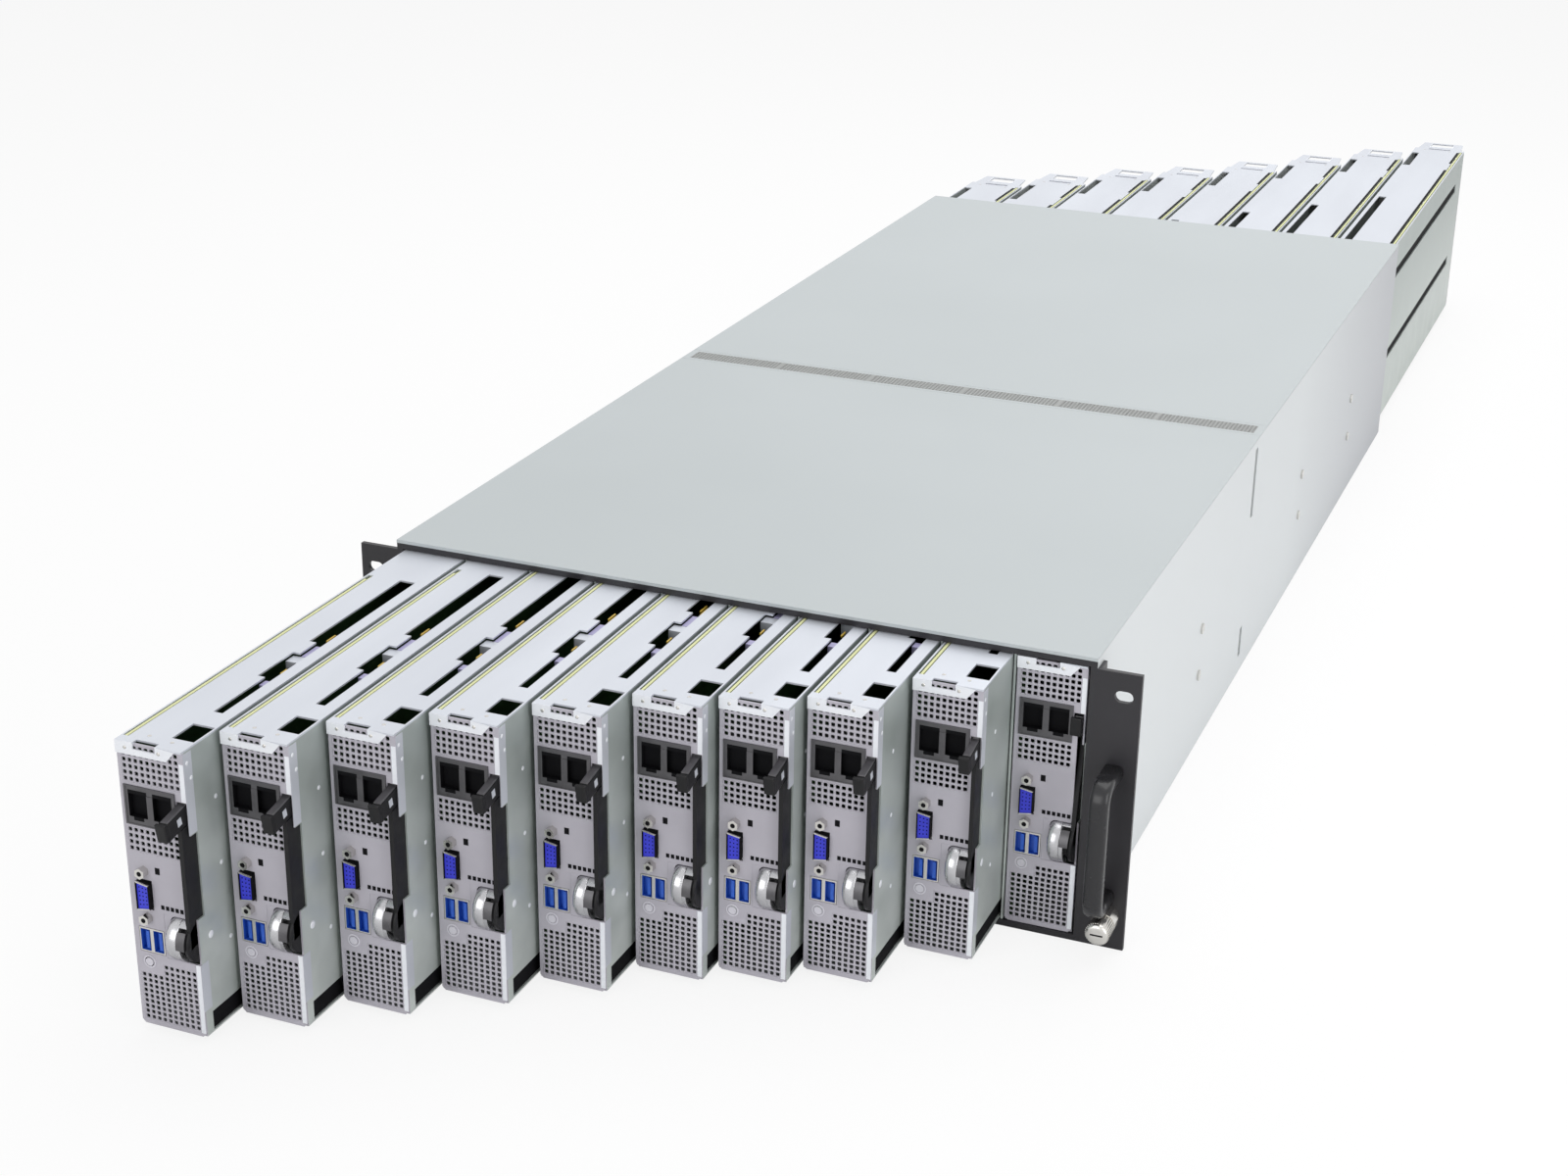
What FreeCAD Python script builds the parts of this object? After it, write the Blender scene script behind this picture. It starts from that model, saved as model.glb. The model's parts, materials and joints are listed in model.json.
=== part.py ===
import FreeCAD, Part
import math
import os

os.makedirs("parts", exist_ok=True)
Vec = FreeCAD.Vector

# Chassis sheet metal, in millimetres, with the rear face of the rack ears at y = 0
rack_width = 482.6
ear_width = 25.0
chassis_height = 174.5
chassis_depth = 990.0
sheet = 1.2
ear_thickness = 3.0

# Mouth frames
frame_depth = 14.0
frame_top = 4.3
frame_bottom = 2.5
frame_side = 2.6

# Bays and sleds
front_count = 10
rear_count = 8
lane_gap = 3.0
run_clear = 0.3
top_clear = 0.5
face_inset = 1.0
guide_sheet = 1.2
guide_foot = 10.0
front_bay_depth = 401.0
front_pulled = [284.0, 255.0, 223.5, 193.5, 161.5, 130.0, 114.5, 96.0, 51.0, 0.0]
rear_pulled = [97.0, 135.0, 185.0, 222.0, 275.0, 335.0, 393.0, 455.0]

# Middle section between the two backplanes, under the perforated strip
board_sheet = 2.4
middle_gap = 38.0
vent_strip_width = 23.0
vent_strip_start = 10.0
vent_slot_count = 6
vent_slot_web = 3.0
vent_slot_margin = 3.5
seam_width = 7.0
seam_upper = 50.0
seam_upper_drop = 6.0
seam_lower = 22.0
seam_lower_rise = 12.0

# Card-edge sockets
socket_width = 6.0
socket_depth = 9.0
socket_height = 60.0
socket_mid = 85.0
socket_clear = 0.3
socket_end_gap = 0.5
tongue_lead = 1.0

# Rack ears, handles and captive thumbscrews
ear_height = 168.4
ear_leg = 10.0
ear_leg_sheet = 2.0
slot_edge = 9.5
slot_width = 6.8
slot_length = 10.3
screw_height = 21.0
slot_rise = 133.35
handle_bottom = 28.6
handle_top = 113.6
handle_reach = 30.0
handle_bar = 8.5
handle_thick = 11.0
handle_bend = 13.0
thread_radius = 2.95
thread_start = 0.4
thread_length = 9.0
neck_radius = 2.2
neck_run = 0.05
screw_head = 7.0
screw_head_length = 13.0
collar_radius = 6.9
collar_length = 12.0
collar_gap = 0.3

# Shoulder studs for the slide rails
stud_radius = 3.6
stud_height = 1.4
stud_rows = [54.5, 87.5]
stud_places = [265.0, 591.0, 797.0]

# Sides of the small rounds that repeat
pin_sides = 6
stud_sides = 8
button_sides = 8
collar_sides = 16
knurl_sides = 24

# Sled sheet metal
sled_sheet = 1.0
face_sheet = 1.2
lip_height = 7.0
lip_gap = 0.2
lip_right = 3.4
lip_slope = 5.9
finger_depth = 3.0
finger_drop = 3.6
board_gap_start = 5.0
board_gap = 3.2
front_finger_left = 10.5
front_finger_width = 13.5
front_corner_hole = 13.0
front_corner_start = 11.5
front_corner_length = 18.5
front_flange = 7.5
front_slit = 5.5
front_slit_wide = 10.0
front_slit_start = 46.0
front_slit_steps = [93.0, 127.0, 143.0]
front_slit_stop = 240.0
rear_finger_left = 14.0
rear_finger_width = 22.0
rear_corner_hole = 7.0
rear_corner_start = 25.0
rear_corner_length = 65.0
rear_flange = 3.5
rear_slit = 7.0
rear_slit_start = 245.0
rear_slit_end = 60.0
pull_reach = 30.0
pull_inset = 3.0
pull_taper = 2.5
pull_root = 8.8
pull_bar = 5.0
wall_slot = 9.0
wall_slot_places = [58.0, 134.0]
wall_slot_start = 40.0
wall_slot_end = 50.0
foot_gap = 11.0
foot_gap_start = 7.0
foot_gap_end = 60.0
lever_cut = 7.0
lever_cut_top = 121.0

# Sled board
board_offset = 0.8
board_thick = 1.6
board_front = 3.0
board_lift = 0.3
tongue_margin = 2.0

# Face panel, heights above the underside of the chassis
face_corner = 2.0
vent_pitch = 3.55
vent_margin = 1.9
vent_top_bottom = 145.4
vent_top_rows = 6
vent_middle_bottom = 106.0
vent_middle_rows = 4
vent_low_bottom = 6.8
vent_low_rows = 8
vent_low_step_rows = 2
vent_low_step_column = 4
port_clear = 0.3
lan_web = 0.9
lan_bottom = 122.4
lan_height = 20.8
lan_depth = 24.0
lan_proud = 0.5
jack_web = 1.5
jack_height = 13.0
jack_depth = 3.6
jack_margin = 1.3
vga_mid = 82.0
vga_flange = 31.0
vga_body = 12.4
vga_depth = 14.0
vga_shell_width = 8.0
vga_shell_height = 16.6
vga_shell_taper = 1.4
vga_shell_proud = 2.4
usb_bottom = 48.0
usb_height = 14.0
usb_web = 0.8
usb_depth = 14.0
usb_hole_web = 2.0
usb_hole_height = 12.4
usb_hole_depth = 3.5
usb_hole_margin = 0.7
button_across = 8.2
button_height = 42.2
button_radius = 2.4
button_proud = 0.6
button_travel = 0.8
button_length = 3.8
switch_gap = 0.2
switch_width = 9.2
switch_height = 8.5
switch_depth = 6.0

# Ejector lever: hub on a pivot stud, leaning arm and grip, placed from the sled's right edge
hub_height = 59.8
hub_back = 5.0
hub_radius = 12.5
hub_width = 16.1
hub_clear = 0.5
hub_arc = 60.0
hub_turns = [250.0, 300.0, 60.0, 110.0]
pin_radius = 2.0
pin_clear = 0.06
pin_tip = 1.0
lever_edge = 1.2
channel_clear = 0.3
arm_thick = 2.2
arm_front = 4.0
arm_depth = 7.5
arm_drop = 9.0
arm_heel = 2.0
lever_open = 11.0
grip_bottom = 127.0
grip_height = 11.0
grip_width = 4.8
grip_proud = 0.3
grip_length = 20.0

# Derived places
chassis_width = rack_width - 2.0 * ear_width
slot_spacing = rack_width - 2.0 * slot_edge
half_width = chassis_width / 2.0
inner_half = half_width - sheet
front_y = -ear_thickness
rear_y = front_y + chassis_depth
floor_z = sheet
roof_z = chassis_height - sheet
mouth_half = inner_half - frame_side
mouth_bottom = floor_z + frame_bottom
mouth_top = roof_z - frame_top
sled_bottom = mouth_bottom + run_clear
sled_top = mouth_top - top_clear
front_board_y = front_y + front_bay_depth
rear_board_y = front_board_y + board_sheet + middle_gap
rear_bay_y = rear_board_y + board_sheet
rear_bay_depth = rear_y - rear_bay_y
front_pitch = 2.0 * mouth_half / front_count
rear_pitch = 2.0 * mouth_half / rear_count
front_width = front_pitch - lane_gap
rear_width = rear_pitch - lane_gap
tongue_length = socket_depth - socket_end_gap + tongue_lead
front_length = front_bay_depth - face_inset - socket_end_gap - tongue_length
rear_length = rear_bay_depth - face_inset - socket_end_gap - tongue_length
board_across = sled_sheet + board_offset
board_face = board_across + board_thick
arm_inset = lever_edge + arm_thick
hub_inset = arm_inset + hub_width + hub_clear
grip_inset = lever_edge + grip_width + channel_clear
lan_width = front_width - grip_inset - lan_web - port_clear - board_face
jack_width = (lan_width - 2.0 * jack_margin - jack_web) / 2.0
usb_stack = front_width - hub_inset - usb_web - port_clear - board_face
usb_hole_width = (usb_stack - 2.0 * usb_hole_margin - usb_hole_web) / 2.0


def box(x0, y0, z0, x1, y1, z1):
    return Part.makeBox(x1 - x0, y1 - y0, z1 - z0, Vec(x0, y0, z0))


def outline(points, direction):
    wire = Part.makePolygon([Vec(*p) for p in points] + [Vec(*points[0])])
    return Part.Face(wire).extrude(Vec(*direction))


def round_along_y(radius, y0, y1, x, z):
    return Part.makeCylinder(radius, y1 - y0, Vec(x, y0, z), Vec(0, 1, 0))


# Prisms for small rounds: corners lie on the radius, or flats do when the prism is a hole
def ring(radius, sides, hole):
    reach = radius / math.cos(math.pi / sides) if hole else radius
    turns = [2.0 * math.pi * (k + 0.5) / sides for k in range(sides)]
    return [(reach * math.cos(t), reach * math.sin(t)) for t in turns]


def prism_along_x(radius, sides, x0, x1, y, z, hole=False):
    return outline([(x0, y + a, z + b) for a, b in ring(radius, sides, hole)], (x1 - x0, 0, 0))


def prism_along_y(radius, sides, y0, y1, x, z, hole=False):
    return outline([(x + a, y0, z + b) for a, b in ring(radius, sides, hole)], (0, y1 - y0, 0))


def save(name, shapes):
    Part.makeCompound(shapes).exportStep("parts/" + name + ".step")


# Chassis tray with the slits of the middle seam
tray_profile = [
    (-half_width, front_y, 0),
    (half_width, front_y, 0),
    (half_width, front_y, roof_z),
    (inner_half, front_y, roof_z),
    (inner_half, front_y, floor_z),
    (-inner_half, front_y, floor_z),
    (-inner_half, front_y, roof_z),
    (-half_width, front_y, roof_z),
]
chassis_tray = outline(tray_profile, (0, chassis_depth, 0))
seam_top = roof_z - seam_upper_drop
for seam_z, seam_h in ((seam_top - seam_upper, seam_upper), (floor_z + seam_lower_rise, seam_lower)):
    seam = box(-half_width - 1, front_board_y, seam_z, half_width + 1, front_board_y + seam_width, seam_z + seam_h)
    keep = box(-inner_half, front_board_y, seam_z, inner_half, front_board_y + seam_width, seam_z + seam_h)
    chassis_tray = chassis_tray.cut(seam.cut(keep))
save("chassis_tray", [chassis_tray])

# Covers and the perforated strip between them
strip_y0 = front_board_y + vent_strip_start
strip_y1 = strip_y0 + vent_strip_width
front_cover = box(-half_width, front_y, roof_z, half_width, strip_y0 - run_clear, chassis_height)
rear_cover = box(-half_width, strip_y1 + run_clear, roof_z, half_width, rear_y, chassis_height)
vent_strip = box(-half_width, strip_y0, roof_z, half_width, strip_y1, chassis_height)
strip_pitch = 2.0 * mouth_half / vent_slot_count
for i in range(vent_slot_count):
    slot_x = -mouth_half + strip_pitch * i + vent_slot_web / 2.0
    slot_end = slot_x + strip_pitch - vent_slot_web
    slot_y0 = strip_y0 + vent_slot_margin
    slot_y1 = strip_y1 - vent_slot_margin
    vent_strip = vent_strip.cut(box(slot_x, slot_y0, roof_z - 1, slot_end, slot_y1, chassis_height + 1))
save("front_cover", [front_cover])
save("rear_cover", [rear_cover])
save("vent_strip", [vent_strip])


# Mouth frames
def mouth_frame(y0):
    rim = box(-inner_half, y0, floor_z, inner_half, y0 + frame_depth, roof_z)
    return rim.cut(box(-mouth_half, y0 - 1, mouth_bottom, mouth_half, y0 + frame_depth + 1, mouth_top))


save("front_frame", [mouth_frame(front_y)])
save("rear_frame", [mouth_frame(rear_y - frame_depth)])


# Guide plates: a web between two sleds on a foot that carries both
def guides(count, pitch, web0, web1, foot0, foot1):
    solids = []
    for i in range(1, count):
        x = -mouth_half + pitch * i
        half = guide_sheet / 2.0
        solids.append(box(x - half, web0, mouth_bottom, x + half, web1, mouth_top - run_clear))
        solids.append(box(x - guide_foot / 2.0, foot0, floor_z, x + guide_foot / 2.0, foot1, mouth_bottom))
    rail = guide_foot / 2.0
    solids.append(box(-inner_half, foot0, floor_z, -mouth_half + rail, foot1, mouth_bottom))
    solids.append(box(mouth_half - rail, foot0, floor_z, inner_half, foot1, mouth_bottom))
    return solids


front_guides = guides(front_count, front_pitch, front_y + face_inset, front_board_y,
                      front_y + frame_depth, front_board_y)
rear_guides = guides(rear_count, rear_pitch, rear_bay_y, rear_y - face_inset,
                     rear_bay_y, rear_y - frame_depth)
save("front_bay_guides", front_guides)
save("rear_bay_guides", rear_guides)


def lane_middle(pitch, i):
    return -mouth_half + pitch * (i + 0.5)


# Backplanes with an air window and a socket for each sled
board_half = inner_half - run_clear
board_top = roof_z - run_clear
air_bottom = sled_bottom + socket_width
air_top = sled_top - socket_width


def backplane(y0, count, pitch, width, turned):
    board = box(-board_half, y0, floor_z, board_half, y0 + board_sheet, board_top)
    sockets = []
    for i in range(count):
        middle = lane_middle(pitch, i)
        way = -1.0 if turned else 1.0
        edge = middle - way * width / 2.0
        plug = edge + way * (board_across + board_thick / 2.0)
        win_a = plug + way * socket_width
        win_b = edge + way * (width - sled_sheet)
        x0, x1 = min(win_a, win_b), max(win_a, win_b)
        board = board.cut(box(x0, y0 - 1, air_bottom, x1, y0 + board_sheet + 1, air_top))
        s0 = y0 + board_sheet if turned else y0 - socket_depth
        s1 = s0 + socket_depth
        zb = socket_mid - socket_height / 2.0
        body = box(plug - socket_width / 2.0, s0, zb, plug + socket_width / 2.0, s1, zb + socket_height)
        gap = board_thick / 2.0 + socket_clear
        body = body.cut(box(plug - gap, s0 - 1, zb - 1, plug + gap, s1 + 1, zb + socket_height + 1))
        sockets.extend(body.Solids)
    return board, sockets


front_backplane, front_sockets = backplane(front_board_y, front_count, front_pitch, front_width, False)
rear_backplane, rear_sockets = backplane(rear_board_y, rear_count, rear_pitch, rear_width, True)
save("front_backplane", [front_backplane])
save("rear_backplane", [rear_backplane])
save("backplane_sockets", front_sockets + rear_sockets)

# Rack ears with a rack slot, a screw collar and a leg along the side wall
ear_solids = []
handle_solids = []
ear_outer = rack_width / 2.0
mount_x = slot_spacing / 2.0
slot_z = screw_height + slot_rise
collar_y = front_y - collar_length
for side in (-1.0, 1.0):
    x0, x1 = sorted((side * half_width, side * ear_outer))
    plate = box(x0, front_y, 0, x1, 0, ear_height)
    l0, l1 = sorted((side * half_width, side * (half_width + ear_leg_sheet)))
    leg = box(l0, front_y, 0, l1, ear_leg, ear_height)
    collar = prism_along_y(collar_radius, collar_sides, collar_y, front_y, side * mount_x, screw_height)
    ear = plate.fuse([leg, collar])
    ear = ear.cut(prism_along_y(neck_radius + neck_run, pin_sides, collar_y - 1, 1,
                                side * mount_x, screw_height, True))
    run = (slot_length - slot_width) / 2.0
    middle = box(side * mount_x - run, front_y - 1, slot_z - slot_width / 2.0,
                 side * mount_x + run, 1, slot_z + slot_width / 2.0)
    ends = [round_along_y(slot_width / 2.0, front_y - 1, 1, side * mount_x + s * run, slot_z) for s in (-1, 1)]
    ear = ear.cut(middle.fuse(ends).removeSplitter())
    ear_solids.extend(ear.removeSplitter().Solids)

    # Bow handle, an outer and an inner outline with bends, extruded across
    hx = side * (half_width + ear_outer) / 2.0 - handle_thick / 2.0
    reach_y = front_y - handle_reach
    outer = box(hx, reach_y, handle_bottom, hx + handle_thick, front_y, handle_top)
    outer = outer.makeFillet(handle_bend, [e for e in outer.Edges
                             if abs(e.CenterOfMass.y - reach_y) < 0.01 and e.BoundBox.XLength > handle_thick / 2.0])
    inner_bend = handle_bend - handle_bar / 2.0
    inner_y = reach_y + handle_bar
    inner = box(hx - 1, inner_y, handle_bottom + handle_bar, hx + handle_thick + 1,
                front_y + 1, handle_top - handle_bar)
    inner = inner.makeFillet(inner_bend, [e for e in inner.Edges
                             if abs(e.CenterOfMass.y - inner_y) < 0.01 and e.BoundBox.XLength > handle_thick / 2.0])
    handle_solids.append(outer.cut(inner))

    # Captive thumbscrew: knurled head, thin neck in the collar and thread behind the ear
    head_y1 = collar_y - collar_gap
    head = prism_along_y(screw_head, knurl_sides, head_y1 - screw_head_length, head_y1, side * mount_x, screw_height)
    neck = prism_along_y(neck_radius, pin_sides, head_y1 - 1, thread_start + 1, side * mount_x, screw_height)
    thread = round_along_y(thread_radius, thread_start, thread_start + thread_length, side * mount_x, screw_height)
    name = "left_thumbscrew" if side < 0 else "right_thumbscrew"
    save(name, [head.fuse([neck, thread]).removeSplitter()])
save("rack_ears", ear_solids)
save("ear_handles", handle_solids)

# Shoulder studs
studs = []
for side in (-1.0, 1.0):
    for y in stud_places:
        for z in stud_rows:
            s0, s1 = sorted((side * half_width, side * (half_width + stud_height)))
            studs.append(prism_along_x(stud_radius, stud_sides, s0, s1, y, z))
save("rail_studs", studs)

# Ejector lever, places that the face and the tray share
sweep_rear = grip_length - grip_proud - hub_back
lever_top = hub_height + math.hypot(sweep_rear, grip_bottom + grip_height - hub_height) + hub_clear
hub_z0 = hub_height - hub_radius - hub_clear
hub_z1 = hub_height + hub_radius + hub_clear


def lever_places(width):
    arm1 = width - lever_edge
    arm0 = arm1 - arm_thick
    return arm0 - hub_width, arm0, arm1


# One sled in its own place: u across from the left edge, v back from the face
def sled_tray(width, length, side_slots):
    wall_top = sled_top - sled_sheet
    inside = width - sled_sheet
    profile = [
        (0, face_sheet, sled_bottom),
        (width, face_sheet, sled_bottom),
        (width, face_sheet, wall_top),
        (inside, face_sheet, wall_top),
        (inside, face_sheet, sled_bottom + sled_sheet),
        (sled_sheet, face_sheet, sled_bottom + sled_sheet),
        (sled_sheet, face_sheet, wall_top),
        (0, face_sheet, wall_top),
    ]
    tray = outline(profile, (0, length - face_sheet, 0))
    cuts = [box(inside - 0.5, 0, hub_z1, width + 1, lever_cut, lever_cut_top)]
    if side_slots:
        for z in wall_slot_places:
            cuts.append(box(-1, wall_slot_start, z, sled_sheet + 0.5, length - wall_slot_end, z + wall_slot))
    else:
        gap_z = sled_bottom + sled_sheet
        cuts.append(box(inside - 0.5, foot_gap_start, gap_z, width + 1, length - foot_gap_end, gap_z + foot_gap))
    tray = tray.cut(cuts)
    hub0 = lever_places(width)[0]
    stud = prism_along_x(pin_radius, pin_sides, hub0 + pin_tip, width - sled_sheet / 2.0, hub_back, hub_height)
    return tray.fuse(stud).removeSplitter()


# The slit's points are given from the plate's right edge and from the face
def sled_plate(width, length, finger, corner, slit, gap_end):
    z0 = sled_top - sled_sheet
    front = -lip_gap - sled_sheet
    plate = box(0, front, z0, width, length, sled_top)
    lip_end = width - lip_right
    lip = outline([
        (0, front, sled_top),
        (lip_end, front, sled_top),
        (lip_end - lip_slope, front, sled_top - lip_height),
        (0, front, sled_top - lip_height),
    ], (0, sled_sheet, 0))
    plate = plate.fuse(lip)
    inside = width - sled_sheet
    cuts = [
        box(finger[0], front - 1, sled_top - finger_drop, finger[0] + finger[1], finger_depth, sled_top + 1),
        box(sled_sheet, board_gap_start, z0 - 1, sled_sheet + board_gap, gap_end, sled_top + 1),
        box(inside - corner[0], corner[1], z0 - 1, inside, corner[1] + corner[2], sled_top + 1),
        outline([(width - u, v, z0 - 1) for u, v in slit], (0, 0, sled_sheet + 2)),
    ]
    return plate.cut(cuts).removeSplitter()


def front_plate():
    near = front_flange + front_slit
    far = front_flange + front_slit_wide
    step1, step2, step3 = front_slit_steps
    slit = [(front_flange, front_slit_start), (front_flange, front_slit_stop), (far, front_slit_stop), (far, step3),
            (near, step3), (near, step2), (far, step2), (far, step1), (near, step1), (near, front_slit_start)]
    return sled_plate(front_width, front_length, (front_finger_left, front_finger_width),
                      (front_corner_hole, front_corner_start, front_corner_length), slit, front_slit_stop)


def rear_plate():
    far = rear_flange + rear_slit
    stop = rear_length - rear_slit_end
    slit = [(rear_flange, rear_slit_start), (rear_flange, stop), (far, stop), (far, rear_slit_start)]
    plate = sled_plate(rear_width, rear_length, (rear_finger_left, rear_finger_width),
                       (rear_corner_hole, rear_corner_start, rear_corner_length), slit, stop)

    # Flat pull loop that stands out over the face
    root = -lip_gap - sled_sheet
    tip = root - pull_reach
    z0 = sled_top - sled_sheet
    loop = outline([
        (pull_inset, root, z0),
        (rear_width - pull_inset, root, z0),
        (rear_width - pull_inset - pull_taper, tip, z0),
        (pull_inset + pull_taper, tip, z0),
    ], (0, 0, sled_sheet))
    loop = loop.cut(box(rear_finger_left, tip + pull_bar, z0 - 1,
                        rear_finger_left + rear_finger_width, root - pull_root, sled_top + 1))
    return plate.fuse(loop).removeSplitter()


def vent_field(width, limit):
    columns = int((width - 2.0 * vent_margin) / vent_pitch)
    left = (width - columns * vent_pitch) / 2.0
    fitting = min(columns, int((limit - left) / vent_pitch))
    return left, left + fitting * vent_pitch


def sled_face(width, loose_button):
    hub0, arm0, arm1 = lever_places(width)
    hub_left = hub0 - hub_clear
    arm_left = arm0 - channel_clear
    grip_left = arm1 - grip_width - channel_clear
    grip_low = grip_bottom - hub_clear
    top = sled_top - sled_sheet
    panel = outline([
        (face_corner, 0, sled_bottom),
        (width - face_corner, 0, sled_bottom),
        (width, 0, sled_bottom + face_corner),
        (width, 0, hub_z0),
        (hub_left, 0, hub_z0),
        (hub_left, 0, hub_z1),
        (arm_left, 0, hub_z1),
        (arm_left, 0, grip_low),
        (grip_left, 0, grip_low),
        (grip_left, 0, lever_top),
        (width, 0, lever_top),
        (width, 0, top),
        (0, 0, top),
        (0, 0, sled_bottom + face_corner),
    ], (0, face_sheet, 0))
    left, right = vent_field(width, width)
    holes = [(left, vent_top_bottom, right, vent_top_bottom + vent_top_rows * vent_pitch)]
    short = vent_field(width, arm_left - face_sheet)[1]
    holes.append((left, vent_middle_bottom, short, vent_middle_bottom + vent_middle_rows * vent_pitch))
    holes.append((board_face - port_clear, lan_bottom - port_clear,
                  board_face + lan_width + port_clear, lan_bottom + lan_height + port_clear))
    vga_x = board_face + vga_body / 2.0
    holes.append((vga_x - vga_shell_width / 2.0 - port_clear, vga_mid - vga_shell_height / 2.0 - port_clear,
                  vga_x + vga_shell_width / 2.0 + port_clear, vga_mid + vga_shell_height / 2.0 + port_clear))
    holes.append((board_face - port_clear, usb_bottom - port_clear,
                  board_face + usb_stack + port_clear, usb_bottom + usb_height + port_clear))
    tools = [box(a, -1, b, c, face_sheet + 1, d) for a, b, c, d in holes]
    step = left + vent_low_step_column * vent_pitch
    low_top = vent_low_bottom + vent_low_rows * vent_pitch
    step_top = low_top + vent_low_step_rows * vent_pitch
    tools.append(outline([
        (left, -1, vent_low_bottom),
        (right, -1, vent_low_bottom),
        (right, -1, step_top),
        (step, -1, step_top),
        (step, -1, low_top),
        (left, -1, low_top),
    ], (0, face_sheet + 2, 0)))
    if loose_button:
        tools.append(prism_along_y(button_radius + port_clear, button_sides, -1, face_sheet + 1,
                                   button_across, button_height, True))
        return panel.cut(tools)
    cap = prism_along_y(button_radius, button_sides, -button_proud, face_sheet / 2.0, button_across, button_height)
    return panel.cut(tools).fuse(cap).removeSplitter()


def sled_board(length):
    z0 = sled_bottom + sled_sheet + board_lift
    z1 = sled_top - sled_sheet - board_lift
    board = box(board_across, board_front, z0, board_face, length, z1)
    zb = socket_mid - socket_height / 2.0 + tongue_margin
    zt = socket_mid + socket_height / 2.0 - tongue_margin
    tongue = box(board_across, length - 1, zb, board_face, length + tongue_length, zt)
    return [board.fuse(tongue).removeSplitter()]


def sled_ports(loose_button):
    lan = box(board_face, -lan_proud, lan_bottom, board_face + lan_width, lan_depth, lan_bottom + lan_height)
    jack_z = lan_bottom + (lan_height - jack_height) / 2.0
    for x in (board_face + jack_margin, board_face + lan_width - jack_margin - jack_width):
        lan = lan.cut(box(x, -lan_proud - 1, jack_z, x + jack_width, jack_depth - lan_proud, jack_z + jack_height))
    vga_x = board_face + vga_body / 2.0
    rear = face_sheet + port_clear
    body = box(board_face, rear, vga_mid - vga_flange / 2.0, board_face + vga_body, vga_depth,
               vga_mid + vga_flange / 2.0)
    low = vga_mid - vga_shell_height / 2.0
    high = vga_mid + vga_shell_height / 2.0
    left = vga_x - vga_shell_width / 2.0
    across = vga_x + vga_shell_width / 2.0
    shell = outline([
        (left, -vga_shell_proud, low),
        (across, -vga_shell_proud, low + vga_shell_taper),
        (across, -vga_shell_proud, high - vga_shell_taper),
        (left, -vga_shell_proud, high),
    ], (0, vga_shell_proud + rear, 0))
    vga = body.fuse(shell).removeSplitter()
    usb = box(board_face, 0, usb_bottom, board_face + usb_stack, usb_depth, usb_bottom + usb_height)
    usb_z = usb_bottom + usb_hole_margin
    first = board_face + usb_hole_margin
    for x in (first, first + usb_stack - 2.0 * usb_hole_margin - usb_hole_width):
        usb = usb.cut(box(x, -1, usb_z, x + usb_hole_width, usb_hole_depth, usb_z + usb_hole_height))
    if not loose_button:
        return [lan, vga, usb]
    back = button_length - button_proud + button_travel + switch_gap
    switch = box(board_face, back, button_height - switch_height / 2.0,
                 board_face + switch_width, back + switch_depth, button_height + switch_height / 2.0)
    return [lan, vga, usb, switch]


def sled_button():
    return prism_along_y(button_radius, button_sides, -button_proud, button_length - button_proud,
                         button_across, button_height)


# Ejector lever, drawn closed: hub with a round front and flat back, leaning arm and grip
def hub_point(x, turn):
    angle = math.radians(turn)
    return Vec(x, hub_back + hub_radius * math.cos(angle), hub_height + hub_radius * math.sin(angle))


def sled_lever(width, angle):
    hub0, arm0, arm1 = lever_places(width)
    turn0 = 180.0 - hub_arc / 2.0
    turn1 = 180.0 + hub_arc / 2.0
    front = Part.Arc(hub_point(hub0, turn0), hub_point(hub0, 180.0), hub_point(hub0, turn1)).toShape()
    back = Part.makePolygon([hub_point(hub0, t) for t in [turn1] + hub_turns + [turn0]])
    hub = Part.Face(Part.Wire([front] + back.Edges)).extrude(Vec(arm0 - hub0, 0, 0))
    lean = math.tan(math.radians(lever_open))
    rise = grip_bottom - hub_height
    front_v = hub_back - arm_front
    arm = outline([
        (arm0, front_v - lean * arm_drop, hub_height - arm_drop),
        (arm0, front_v - lean * arm_heel + arm_depth, hub_height - arm_heel),
        (arm0, front_v + lean * rise + arm_depth, grip_bottom),
        (arm0, front_v + lean * rise, grip_bottom),
    ], (arm1 - arm0, 0, 0))
    body = hub.fuse(arm).removeSplitter()
    body = body.cut(prism_along_x(pin_radius + pin_clear, pin_sides, hub0 - 1, arm1 + 1, hub_back, hub_height, True))
    grip = box(arm1 - grip_width, -grip_proud, grip_bottom, arm1, grip_length - grip_proud, grip_bottom + grip_height)
    solids = [body, grip]
    for solid in solids:
        solid.rotate(Vec(0, hub_back, hub_height), Vec(1, 0, 0), angle)
    return solids


def place_front(shapes, i):
    x = lane_middle(front_pitch, i) - front_width / 2.0
    y = front_y + face_inset - front_pulled[i]
    placed = []
    for shape in shapes:
        copy = shape.copy()
        copy.translate(Vec(x, y, 0))
        placed.append(copy)
    return placed


def place_rear(shapes, i):
    x = lane_middle(rear_pitch, i) + rear_width / 2.0
    y = rear_y - face_inset + rear_pulled[i]
    placed = []
    for shape in shapes:
        copy = shape.copy()
        copy.rotate(Vec(0, 0, 0), Vec(0, 0, 1), 180)
        copy.translate(Vec(x, y, 0))
        placed.append(copy)
    return placed


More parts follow.
